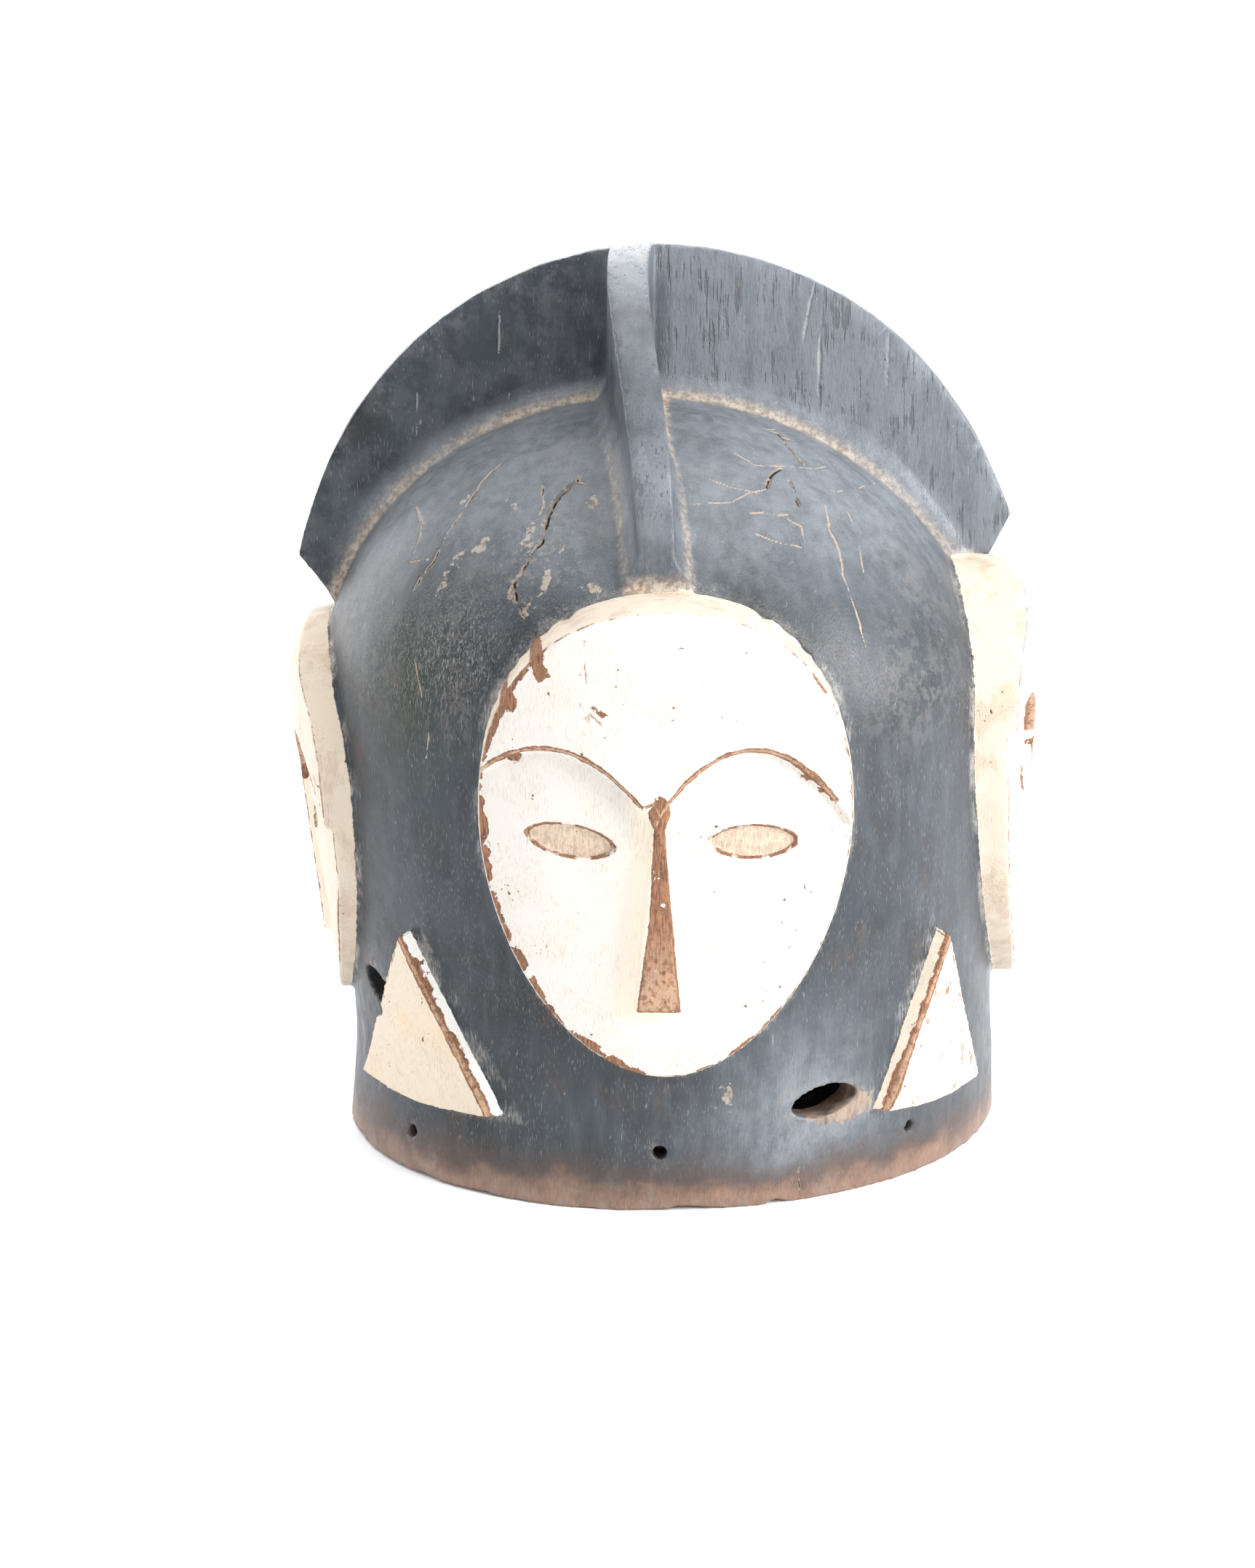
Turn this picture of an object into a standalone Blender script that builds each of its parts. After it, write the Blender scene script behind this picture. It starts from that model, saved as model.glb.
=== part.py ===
"""A hollow helmet mask carved from one block of wood.

A barrel body with a domed top carries four low relief faces, a raised triangle between each
two of them, a crest that runs from side to side and a ridge that runs from front to back.
Metres, +Z up, front towards -Y. The rim is flat and stands on z = 0.
"""

import math

import bmesh
import bpy
from mathutils import Matrix, Vector

# Body
RIM_RADIUS = 0.1325
BARREL_RADIUS = 0.1375
BULGE_START = 0.040       # the barrel widens from here up to the next height
BULGE_END = 0.145
SHOULDER_HEIGHT = 0.175   # the dome starts here
DOME_RISE = 0.122
WALL = 0.013
CROWN_WALL = 0.016        # wall at the top of the dome
LEAN = 0.050              # the block leans towards -X by this much for each metre up
LEAN_START = 0.030
SQUARE = 0.0016           # the plan bulges this much between the faces and flattens behind them
OVAL = 0.005              # the rim is longer and shorter than a circle by this much
OVAL_AZIMUTH = math.radians(-57)

# Crest from side to side
CREST_PROUD = 0.0078      # its arc's radius is this much more than the barrel's
CREST_TIP_RISE = 0.0020   # its two tips stand this much outside the arc
CREST_CENTRE_HEIGHT = 0.2104
CREST_SHIFT = 0.0016
CREST_EDGE_TILT = math.radians(3.3)
CREST_EDGE_REACH = math.radians(77.9)
CREST_ROOT_TILT = math.radians(0.5)
CREST_ROOT_REACH = math.radians(89.7)
CREST_EDGE_THICKNESS = 0.0170
CREST_ROOT_THICKNESS = 0.0260
CREST_FILLET_HEIGHT = 0.012

# Ridge from front to back
RIDGE_TOP = 0.357
RIDGE_CENTRE_HEIGHT = 0.200
RIDGE_INSET = 0.011       # its ends stand this far inside the barrel's radius
RIDGE_END_HEIGHT = 0.254  # top edge of its upright ends
RIDGE_CROSSING_WIDTH = 0.0165
RIDGE_END_WIDTH = 0.0138
RIDGE_FLARE = 0.0040      # added on each side at the root
RIDGE_SHIFT = -0.0009
RIDGE_WAVER = 0.0029      # it wavers to both sides of a straight line by this much

# Faces
FACE_PROUD = {"front": 0.0140, "right": 0.0160, "back": 0.0140, "left": 0.0115}
FACE_WIDTH = 0.137
FACE_BOTTOM = {"front": 0.056, "right": 0.058, "back": 0.056, "left": 0.051}
FACE_TOP = {"front": 0.231, "right": 0.230, "back": 0.226, "left": 0.2085}
TOP_SLOPE = 0.004         # the plate's top rises this much from its edge to the dome
FOREHEAD_ROUND = {"front": 0.004, "right": 0.007, "back": 0.006, "left": 0.009}
ROUND_HEIGHT = 0.022      # the forehead falls back over this height below its top edge
NOSE_FALL = {"front": 0.0045, "right": 0.0065, "back": 0.0050, "left": 0.0065}
WIDEST_SHARE = 0.566      # of the face's height, where the outline is widest
FOREHEAD_POWER = 2.3
JAW_POWER = 1.87
CHEEK_DEPTH = 0.0035      # step from the forehead down to the cheeks
CHIN_DEPTH = 0.0115       # the cheeks slope back to this depth at the chin
SLOPE_SHARE = 0.50        # of the face's height, where that slope starts
HOLLOW_DEPTH = 0.0025     # the cheeks are this much deeper beside the nose
HOLLOW_WIDTH = 0.030
BROW_RUN = 0.003          # the brow slopes down to the cheek over this height
BROW_TOP_SHARE = 0.720
BROW_PEAK = 0.037         # from the middle of the face to the top of each brow
BROW_CURVE = 19.5         # metres of fall for each square metre away from the peak
NOSE_SHIFT = -0.0025
NOSE_ROOT_SHARE = 0.571
NOSE_TIP_SHARE = 0.155
NOSE_ROOT_WIDTH = 0.0037
NOSE_TIP_WIDTH = 0.0170
NOSE_FLARE = 0.0018
EYE_LENGTH = 0.032
EYE_HEIGHT = 0.012
EYE_DEPTH = 0.0018
EYE_SPREAD = 0.033        # from the middle of the face to each eye's middle
EYE_SHARE = 0.520
EYE_TILT = math.radians(-7)
ALMOND_POWER = 1.3        # how pointed the ends of eyes and slots are

# Raised triangles
TRIANGLE_PROUD = 0.0065
TRIANGLE_BEVEL = 0.0055
TRIANGLE_BASE_HEIGHT = 0.033
TRIANGLE_HEIGHT = 0.070
TRIANGLE_BASE_DIP = 0.002
TRIANGLE_WIDTHS = {-46: 0.084, 47: 0.066, 134: 0.072, -134: 0.072}

# Lookout slots and tie holes
SLOT_LENGTH = 0.028
SLOT_HEIGHT = 0.012
SLOT_PLACES = {25: 0.040, -60: 0.068}
SLOT_TILTS = {25: math.radians(8), -60: math.radians(-24)}
HOLE_RADIUS = 0.0026
HOLE_COUNT = 8
HOLE_SPACING = math.radians(46.9)
HOLE_FIRST = math.radians(-3.3)
HOLE_HEIGHT = 0.0185
HOLE_SWAY = 0.005

EMBED = 0.006             # how far applied forms reach into the wall
FLAT_BACK = -0.050        # back of a face's plate before it is bent onto the body
CUTTER_OVERRUN = 0.020    # cutters run past the walls by this much
DIRECTIONS = {"front": 0, "right": 90, "back": 180, "left": -90}
COLOUR = (0.060, 0.070, 0.085, 1.0)


def axis_at(height):
    """The middle of the leaning body at a height."""
    return Vector((-LEAN * max(0.0, height - LEAN_START), 0, height))


def radial(azimuth):
    return Vector((math.sin(azimuth), -math.cos(azimuth), 0))


def tangent(azimuth):
    return Vector((math.cos(azimuth), math.sin(azimuth), 0))


def body_radius(azimuth, height, inset=0.0, crown_inset=0.0):
    """Radius of the body, or of a surface that lies inset inside it."""
    share = (height - BULGE_START) / (BULGE_END - BULGE_START)
    swell = 0.5 - 0.5 * math.cos(math.pi * max(0.0, min(1.0, share)))
    radius = RIM_RADIUS + (BARREL_RADIUS - RIM_RADIUS) * swell - inset
    radius -= SQUARE * swell * math.cos(4 * azimuth)
    radius += OVAL * max(0.0, 1 - height / BULGE_START) * math.cos(2 * (azimuth - OVAL_AZIMUTH))
    rise = max(0.0, height - SHOULDER_HEIGHT) / (DOME_RISE - crown_inset)
    return radius * math.sqrt(max(0.0, 1 - rise * rise))


def surface_point(azimuth, height, inset=0.0, crown_inset=0.0):
    radius = body_radius(azimuth, height, inset, crown_inset)
    return axis_at(height) + radial(azimuth) * radius


def mesh_object(name, bm, helper=True):
    bmesh.ops.recalc_face_normals(bm, faces=bm.faces)
    mesh = bpy.data.meshes.new(name)
    bm.to_mesh(mesh)
    bm.free()
    obj = bpy.data.objects.new(name, mesh)
    bpy.context.scene.collection.objects.link(obj)
    if helper:
        obj.hide_render = True
        obj.display_type = "WIRE"
    return obj


def loft(rings, caps=True):
    """A closed body through rings that hold the same number of points."""
    bm = bmesh.new()
    loops = [[bm.verts.new(point) for point in ring] for ring in rings]
    count = len(loops[0])
    for lower, upper in zip(loops, loops[1:]):
        for i in range(count):
            j = (i + 1) % count
            bm.faces.new((lower[i], lower[j], upper[j], upper[i]))
    if caps:
        bm.faces.new(loops[0])
        bm.faces.new(loops[-1])
    return bm


def body_shell():
    """The outer barrel and dome, the flat rim and the hollow inside, as one closed surface."""
    sides = 72
    turns = [math.tau * i / sides for i in range(sides)]

    def rings(inset, crown_inset, barrel_steps, dome_steps):
        barrel = [SHOULDER_HEIGHT * i / barrel_steps for i in range(barrel_steps)]
        rise = DOME_RISE - crown_inset
        dome = [
            SHOULDER_HEIGHT + rise * math.sin(0.5 * math.pi * i / dome_steps)
            for i in range(dome_steps)
        ]
        return [
            [surface_point(turn, height, inset, crown_inset) for turn in turns]
            for height in barrel + dome
        ]

    inner = rings(WALL, CROWN_WALL, 4, 6)
    outer = rings(0.0, 0.0, 6, 9)
    bm = loft(list(reversed(inner)) + outer, caps=False)
    bm.verts.ensure_lookup_table()
    for ring, crown in ((0, DOME_RISE - CROWN_WALL), (len(inner) + len(outer) - 1, DOME_RISE)):
        pole = bm.verts.new(axis_at(SHOULDER_HEIGHT + crown))
        bm.verts.ensure_lookup_table()
        start = ring * sides
        for i in range(sides):
            bm.faces.new((bm.verts[start + i], bm.verts[start + (i + 1) % sides], pole))
    return mesh_object("carved_mask", bm, helper=False)


def dome_reach(centre, direction, shrink):
    """Distance from centre along direction to the dome, shrunk by a share of its size."""
    across = BARREL_RADIUS * (1 - shrink)
    rise = DOME_RISE * (1 - shrink)
    level = Vector((direction.x, direction.y, 0))
    sideways = level.length
    up = centre.z - SHOULDER_HEIGHT
    reach = across
    for _ in range(5):
        offset = centre - axis_at(centre.z + direction.z * reach)
        start = (offset.x * level.x + offset.y * level.y) / max(sideways, 1e-6)
        a = (sideways / across) ** 2 + (direction.z / rise) ** 2
        b = sideways * start / across ** 2 + direction.z * up / rise ** 2
        c = (start / across) ** 2 + (up / rise) ** 2 - 1
        reach = (math.sqrt(max(b * b - a * c, 0.0)) - b) / a
    return reach


def crest():
    """The plate from side to side: an arc with slanting ends and a filleted root."""
    steps = 40
    arc = BARREL_RADIUS + CREST_PROUD
    centre = axis_at(CREST_CENTRE_HEIGHT) + Vector((CREST_SHIFT, 0, 0))
    bury = EMBED / BARREL_RADIUS
    rings = []
    for i in range(steps + 1):
        share = 2 * i / steps - 1
        edge_turn = CREST_EDGE_TILT + share * CREST_EDGE_REACH
        root_turn = CREST_ROOT_TILT + share * CREST_ROOT_REACH
        edge_way = Vector((-math.sin(edge_turn), 0, math.cos(edge_turn)))
        root_way = Vector((-math.sin(root_turn), 0, math.cos(root_turn)))
        edge = centre + edge_way * (arc + CREST_TIP_RISE * share ** 8)
        root = centre + root_way * dome_reach(centre, root_way, bury)
        surface = centre + root_way * dome_reach(centre, root_way, 0.0)
        fillet = surface + (edge - surface).normalized() * CREST_FILLET_HEIGHT
        out = Vector((0, CREST_EDGE_THICKNESS / 2, 0))
        low = Vector((0, CREST_ROOT_THICKNESS / 2, 0))
        rings.append(
            (edge - out, edge + out, fillet + out, root + low, root - low, fillet - out)
        )
    return mesh_object("crest", loft(rings))


def ridge():
    """The plate from front to back, with upright ends above the front and back faces."""
    steps = 26
    half_length = BARREL_RADIUS - RIDGE_INSET
    rise = RIDGE_TOP - RIDGE_CENTRE_HEIGHT
    end_turn = math.acos((RIDGE_END_HEIGHT - RIDGE_CENTRE_HEIGHT) / rise)
    bury = EMBED / BARREL_RADIUS
    rings = []
    for i in range(steps + 1):
        share = 2 * i / steps - 1
        turn = share * end_turn
        height = RIDGE_CENTRE_HEIGHT + rise * math.cos(turn)
        top = axis_at(height) - Vector((0, half_length * math.sin(turn), 0))
        if abs(share) < 1:
            middle = axis_at(SHOULDER_HEIGHT)
            way = Vector((0, top.y, height - SHOULDER_HEIGHT)).normalized()
            root = middle + way * dome_reach(middle, way, bury)
            root.x = axis_at(root.z).x
        else:
            rise_here = DOME_RISE * math.sqrt(1 - (top.y / BARREL_RADIUS) ** 2)
            root = axis_at(SHOULDER_HEIGHT + rise_here - 1.5 * EMBED)
            root.y = top.y
        width = RIDGE_CROSSING_WIDTH + (RIDGE_END_WIDTH - RIDGE_CROSSING_WIDTH) * abs(share)
        waver = Vector((RIDGE_SHIFT - RIDGE_WAVER * math.sin(1.5 * math.pi * share), 0, 0))
        out = Vector((width / 2, 0, 0))
        low = Vector((width / 2 + RIDGE_FLARE, 0, 0))
        edges = (top - out, top + out, root + low, root - low)
        rings.append([point + waver for point in edges])
    return mesh_object("ridge", loft(rings))


def power(value, exponent):
    return math.copysign(abs(value) ** exponent, value)


def flat_prism(name, back, front, back_depth, front_depth):
    """A body between two outlines of (across, height) points, at two depths."""
    rings = [
        [Vector((across, depth, height)) for across, height in outline]
        for outline, depth in ((back, back_depth), (front, front_depth))
    ]
    return mesh_object(name, loft(rings))


def cut_away(target, cutter, operation="DIFFERENCE"):
    modifier = target.modifiers.new(cutter.name, "BOOLEAN")
    modifier.operation = operation
    modifier.solver = "EXACT"
    modifier.object = cutter


def applied(obj):
    """The object's mesh with its modifiers applied, as a bmesh."""
    graph = bpy.context.evaluated_depsgraph_get()
    mesh = bpy.data.meshes.new_from_object(obj.evaluated_get(graph))
    bm = bmesh.new()
    bm.from_mesh(mesh)
    return bm


def slice_up(bm, axis, places):
    """Adds edges where upright or level planes cross the mesh, so that it can bend there."""
    for place in places:
        point = Vector((0, 0, 0))
        point[axis] = place
        normal = Vector((0, 0, 0))
        normal[axis] = 1
        parts = bm.verts[:] + bm.edges[:] + bm.faces[:]
        bmesh.ops.bisect_plane(bm, geom=parts, plane_co=point, plane_no=normal, dist=1e-6)


def face_outline(bottom, height):
    """The egg outline: rounder above its widest line and pointed at the chin."""
    steps = 48
    widest = bottom + WIDEST_SHARE * height
    points = []
    for i in range(steps):
        turn = math.tau * (i + 0.5) / steps
        above = math.sin(turn) > 0
        exponent = 2 / (FOREHEAD_POWER if above else JAW_POWER)
        reach = height * (1 - WIDEST_SHARE) if above else height * WIDEST_SHARE
        across = FACE_WIDTH / 2 * power(math.cos(turn), exponent)
        points.append((across, widest + reach * power(math.sin(turn), exponent)))
    return points


def cheek_cutter(bottom, height):
    """What is carved away below the brows and on both sides of the nose."""
    steps = 9
    edge = FACE_WIDTH / 2 + CUTTER_OVERRUN / 2
    brow_top = bottom + BROW_TOP_SHARE * height
    root = bottom + NOSE_ROOT_SHARE * height
    tip = bottom + NOSE_TIP_SHARE * height
    low = bottom - CUTTER_OVERRUN
    depth = CHEEK_DEPTH
    front_share = -0.5

    def brow(across):
        return brow_top - BROW_CURVE * (abs(across) - BROW_PEAK) ** 2

    def outline(share):
        slope = BROW_RUN * share
        flare = NOSE_FLARE * share
        right = []
        inner = NOSE_ROOT_WIDTH / 2 + flare
        for i in range(steps + 1):
            across = edge + (inner - edge) * i / steps
            level = min(brow(across), root) if i == steps else brow(across)
            right.append((across, level - slope))
        right.append((NOSE_TIP_WIDTH / 2 + flare, tip - flare / 2))
        left = [(-across, level) for across, level in reversed(right)]
        return [(edge, low)] + right + left + [(-edge, low)]

    front = [(across + NOSE_SHIFT, level) for across, level in outline(front_share)]
    floor = [(across + NOSE_SHIFT, level) for across, level in outline(1.0)]
    return flat_prism("cheeks", floor, front, -depth, -depth * front_share)


def almond(length, height, tilt):
    """A pointed oval outline, turned by tilt."""
    steps = 18
    points = []
    for i in range(steps):
        turn = math.tau * i / steps
        across = length / 2 * math.cos(turn)
        up = height / 2 * power(math.sin(turn), ALMOND_POWER)
        points.append((
            across * math.cos(tilt) - up * math.sin(tilt),
            across * math.sin(tilt) + up * math.cos(tilt),
        ))
    return points


def eye_cutter(side, bottom, height):
    level = bottom + EYE_SHARE * height
    outline = [
        (side * EYE_SPREAD + across, level + up)
        for across, up in almond(EYE_LENGTH, EYE_HEIGHT, -side * EYE_TILT)
    ]
    return flat_prism("eye", outline, outline, -CHEEK_DEPTH - EYE_DEPTH, EYE_DEPTH)


def face(name):
    """One low relief face, carved flat and then bent onto the body."""
    bottom = FACE_BOTTOM[name]
    height = FACE_TOP[name] - bottom
    outline = face_outline(bottom, height)
    back_outline = face_outline(bottom, height + TOP_SLOPE)
    plate = flat_prism("plate", back_outline, outline, FLAT_BACK, 0.0)
    cut_away(plate, cheek_cutter(bottom, height))
    for side in (-1, 1):
        cut_away(plate, eye_cutter(side, bottom, height))
    bm = applied(plate)
    columns = 12
    slice_up(bm, 0, [FACE_WIDTH * (i / columns - 0.5) for i in range(1, columns)])
    shares = (0.14, 0.28, 0.43, 0.57, 0.71, 0.79, 0.86, 0.92, 0.97)
    slice_up(bm, 2, [bottom + height * share for share in shares])

    azimuth = math.radians(DIRECTIONS[name])
    along, outward = tangent(azimuth), radial(azimuth)
    middle_shift = along * axis_at(bottom + height / 2).dot(along)
    round_from = bottom + height - ROUND_HEIGHT
    slope_from = bottom + SLOPE_SHARE * height
    nose_root = bottom + NOSE_ROOT_SHARE * height
    nose_tip = bottom + NOSE_TIP_SHARE * height
    for vert in bm.verts:
        across, depth, level = vert.co
        if depth < FLAT_BACK / 2:
            aside = across + middle_shift.dot(along) - axis_at(level).dot(along)
            turn = azimuth + math.asin(max(-0.9, min(0.9, aside / BARREL_RADIUS)))
            radius = body_radius(turn, level) - EMBED
            reach = math.sqrt(max(radius ** 2 - aside ** 2, 0.0))
        else:
            beside_nose = abs(across - NOSE_SHIFT)
            if depth < -CHEEK_DEPTH / 2:
                slope = max(0.0, slope_from - level) / (slope_from - bottom)
                hollow = math.exp(-(beside_nose / HOLLOW_WIDTH) ** 2) * (level > nose_tip)
                depth -= (CHIN_DEPTH - CHEEK_DEPTH) * slope + HOLLOW_DEPTH * hollow
            elif level < nose_root and beside_nose < NOSE_TIP_WIDTH:
                depth -= NOSE_FALL[name] * (nose_root - level) / (nose_root - nose_tip)
            if level > round_from:
                depth -= FOREHEAD_ROUND[name] * ((level - round_from) / ROUND_HEIGHT) ** 2
            reach = depth + math.sqrt((BARREL_RADIUS + FACE_PROUD[name]) ** 2 - across ** 2)
        place = along * across + middle_shift + outward * reach
        place += outward * axis_at(level).dot(outward)
        vert.co = (place.x, place.y, level)
    bmesh.ops.triangulate(bm, faces=bm.faces)
    return mesh_object("face_" + name, bm)


def triangle(degrees, base_width):
    """A raised triangle, bevelled on the side towards the front or back face."""
    azimuth = math.radians(degrees)
    inner_side = -1 if 0 < degrees < 90 or degrees < -90 else 1
    half = base_width / 2
    top = TRIANGLE_BASE_HEIGHT + TRIANGLE_HEIGHT
    spread = TRIANGLE_BEVEL

    def outline(inset):
        inner = half - inset
        return [
            (-inner_side * half, TRIANGLE_BASE_HEIGHT),
            (0.0, TRIANGLE_BASE_HEIGHT - TRIANGLE_BASE_DIP),
            (inner_side * inner, TRIANGLE_BASE_HEIGHT),
            (-inner_side * inset * 0.5, top - inset * 0.6),
        ]

    drop = TRIANGLE_PROUD + EMBED
    bm = applied(flat_prism("triangle_blank", outline(0.0), outline(spread), -drop, 0.0))
    columns = 10
    slice_up(bm, 0, [base_width * (i / columns - 0.5) for i in range(1, columns)])
    slice_up(bm, 2, [TRIANGLE_BASE_HEIGHT + TRIANGLE_HEIGHT * share for share in (0.33, 0.66)])
    along, outward = tangent(azimuth), radial(azimuth)
    middle_shift = along * axis_at(TRIANGLE_BASE_HEIGHT + TRIANGLE_HEIGHT / 3).dot(along)
    for vert in bm.verts:
        across, depth, level = vert.co
        aside = across + middle_shift.dot(along) - axis_at(level).dot(along)
        turn = azimuth + math.asin(aside / BARREL_RADIUS)
        radius = body_radius(turn, level) + TRIANGLE_PROUD + depth
        reach = math.sqrt(max(radius ** 2 - aside ** 2, 0.0))
        place = along * across + middle_shift + outward * reach
        place += outward * axis_at(level).dot(outward)
        vert.co = (place.x, place.y, level)
    bmesh.ops.triangulate(bm, faces=bm.faces)
    return mesh_object("triangle", bm)


def through_cutter(name, outline, azimuth, height):
    """A body that runs out through the wall, from an outline of (across, up) points."""
    along, outward = tangent(azimuth), radial(azimuth)
    middle = axis_at(height)
    radius = body_radius(azimuth, height)
    near = radius - WALL - CUTTER_OVERRUN
    far = radius + TRIANGLE_PROUD + CUTTER_OVERRUN
    rings = []
    for reach in (near, far):
        rings.append([
            middle + along * across + outward * reach + Vector((0, 0, up))
            for across, up in outline
        ])
    return mesh_object(name, loft(rings))


def slot_cutter(degrees):
    outline = almond(SLOT_LENGTH, SLOT_HEIGHT, SLOT_TILTS[degrees])
    return through_cutter("slot", outline, math.radians(degrees), SLOT_PLACES[degrees])


def hole_cutter(number):
    steps = 12
    quarter = 0.5 * math.pi * number
    height = HOLE_HEIGHT + HOLE_SWAY * (math.cos(quarter) + 0.5 * math.sin(quarter))
    turns = [math.tau * i / steps for i in range(steps)]
    outline = [(HOLE_RADIUS * math.cos(turn), HOLE_RADIUS * math.sin(turn)) for turn in turns]
    return through_cutter("tie_hole", outline, HOLE_FIRST + number * HOLE_SPACING, height)


def painted_wood():
    material = bpy.data.materials.new("painted_wood")
    material.use_nodes = True
    shader = material.node_tree.nodes["Principled BSDF"]
    shader.inputs["Base Color"].default_value = COLOUR
    shader.inputs["Roughness"].default_value = 0.55
    shader.inputs["Metallic"].default_value = 0.0
    return material


def build():
    for obj in list(bpy.data.objects):
        bpy.data.objects.remove(obj, do_unlink=True)

    blank = body_shell()
    for added in [crest(), ridge()] + [face(name) for name in DIRECTIONS]:
        cut_away(blank, added, "UNION")
    for degrees, base_width in TRIANGLE_WIDTHS.items():
        cut_away(blank, triangle(degrees, base_width), "UNION")
    for degrees in SLOT_PLACES:
        cut_away(blank, slot_cutter(degrees))
    first = -(HOLE_COUNT // 2 - 1)
    for number in range(first, first + HOLE_COUNT):
        cut_away(blank, hole_cutter(number))

    bm = applied(blank)
    bpy.data.objects.remove(blank, do_unlink=True)
    bmesh.ops.triangulate(bm, faces=bm.faces)
    sides = [vert.co.x for vert in bm.verts]
    depths = [vert.co.y for vert in bm.verts]
    middle = Vector(((min(sides) + max(sides)) / 2, (min(depths) + max(depths)) / 2, 0))
    bmesh.ops.transform(bm, matrix=Matrix.Translation(-middle), verts=bm.verts)
    mask = mesh_object("carved_mask", bm, helper=False)
    mask.data.materials.append(painted_wood())
    mask.data.shade_smooth()
    mask.data.set_sharp_from_angle(angle=math.radians(30))


build()
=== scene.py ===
"""A hollow helmet mask, carved from one block of wood and painted.

A barrel with a domed top carries four low faces, a raised triangle between each two of them,
a crest from side to side and a ridge from front to back. Metres, +Z up, front towards -Y.
"""

import math

import bmesh
import bpy
import numpy as np
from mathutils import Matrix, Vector
from mathutils.bvhtree import BVHTree


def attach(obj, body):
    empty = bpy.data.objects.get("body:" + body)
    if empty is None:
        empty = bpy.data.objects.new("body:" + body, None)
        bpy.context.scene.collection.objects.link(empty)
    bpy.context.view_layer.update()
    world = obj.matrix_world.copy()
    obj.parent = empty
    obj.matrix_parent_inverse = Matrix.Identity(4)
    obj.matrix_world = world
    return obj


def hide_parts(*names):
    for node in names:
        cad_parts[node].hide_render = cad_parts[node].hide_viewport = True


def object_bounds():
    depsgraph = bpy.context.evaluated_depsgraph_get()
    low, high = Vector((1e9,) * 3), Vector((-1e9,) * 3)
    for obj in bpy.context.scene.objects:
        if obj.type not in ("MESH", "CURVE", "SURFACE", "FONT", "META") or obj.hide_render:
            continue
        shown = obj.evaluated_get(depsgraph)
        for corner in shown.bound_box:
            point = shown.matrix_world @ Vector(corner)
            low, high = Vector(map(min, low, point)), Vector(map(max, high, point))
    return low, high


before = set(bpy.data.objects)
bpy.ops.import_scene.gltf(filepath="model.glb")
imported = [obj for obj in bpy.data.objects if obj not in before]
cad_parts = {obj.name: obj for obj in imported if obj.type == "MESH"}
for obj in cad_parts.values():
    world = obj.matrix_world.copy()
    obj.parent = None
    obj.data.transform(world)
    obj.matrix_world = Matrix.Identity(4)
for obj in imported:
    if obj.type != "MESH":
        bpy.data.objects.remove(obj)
cad_low, cad_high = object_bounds()

# The block: a barrel that leans a little to one side under a domed top, hollowed from below.
# It is one log of light wood, shaped with an adze and a knife. All measures here count from
# the middle of the rim; the finished carving is moved beside the middle of its box at the end.
RIM_RADIUS = 0.1325
BARREL_RADIUS = 0.1375
BULGE_START, BULGE_END = 0.040, 0.145
SHOULDER_HEIGHT = 0.175
DOME_RISE = 0.122
WALL = 0.013
CROWN_WALL = 0.016
LEAN = 0.050
LEAN_START = 0.030
SQUARE = 0.0016
OVAL = 0.005
OVAL_AZIMUTH = math.radians(-57)
BLOCK_SHIFT = 0.0048
VOXEL = 0.0010


def lean_at(height):
    """How far the block's middle stands to the side at a height."""
    return -LEAN * np.maximum(0.0, height - LEAN_START)


def block_radius(azimuth, height, inset=0.0, crown_inset=0.0):
    """Radius of the block, or of the hollow that lies inset inside it."""
    share = np.clip((height - BULGE_START) / (BULGE_END - BULGE_START), 0.0, 1.0)
    swell = 0.5 - 0.5 * np.cos(np.pi * share)
    radius = RIM_RADIUS + (BARREL_RADIUS - RIM_RADIUS) * swell - inset
    radius = radius - SQUARE * swell * np.cos(4 * azimuth)
    low = np.maximum(0.0, 1 - height / BULGE_START)
    radius = radius + OVAL * low * np.cos(2 * (azimuth - OVAL_AZIMUTH))
    rise = np.maximum(0.0, height - SHOULDER_HEIGHT) / (DOME_RISE - crown_inset)
    return radius * np.sqrt(np.maximum(0.0, 1 - rise * rise))


def compass(azimuth):
    """The level directions along and out of the block's skin at an azimuth."""
    sine, cosine = math.sin(azimuth), math.cos(azimuth)
    return (cosine, sine, 0.0), (sine, -cosine, 0.0)


def block_point(azimuth, height, inset=0.0, crown_inset=0.0):
    radius = float(block_radius(azimuth, height, inset, crown_inset))
    across = float(lean_at(height)) + radius * math.sin(azimuth)
    return Vector((across, -radius * math.cos(azimuth), height))


def made_object(name, bm):
    bmesh.ops.recalc_face_normals(bm, faces=bm.faces)
    mesh = bpy.data.meshes.new(name)
    bm.to_mesh(mesh)
    bm.free()
    obj = bpy.data.objects.new(name, mesh)
    bpy.context.scene.collection.objects.link(obj)
    return obj


def turned_skin(bm, inset, crown_inset):
    """One wall of the block: a ball whose lower half is pulled down to the rim."""
    ball = bmesh.ops.create_uvsphere(bm, u_segments=168, v_segments=72, radius=1.0)
    low = min(ball["verts"], key=lambda vert: vert.co.z)
    around_low = {edge.other_vert(low) for edge in low.link_edges}
    first_turn = math.asin(next(iter(around_low)).co.z)
    bmesh.ops.delete(bm, geom=[low], context="VERTS")
    skin = [vert for vert in ball["verts"] if vert.is_valid]
    for vert in skin:
        turn = math.asin(max(-1.0, min(1.0, vert.co.z)))
        azimuth = math.atan2(vert.co.x, -vert.co.y)
        if turn < 0:
            height = SHOULDER_HEIGHT * (1 - turn / first_turn)
        else:
            height = SHOULDER_HEIGHT + (DOME_RISE - crown_inset) * math.sin(turn)
        vert.co = block_point(azimuth, max(0.0, height), inset, crown_inset)
    return skin


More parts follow.
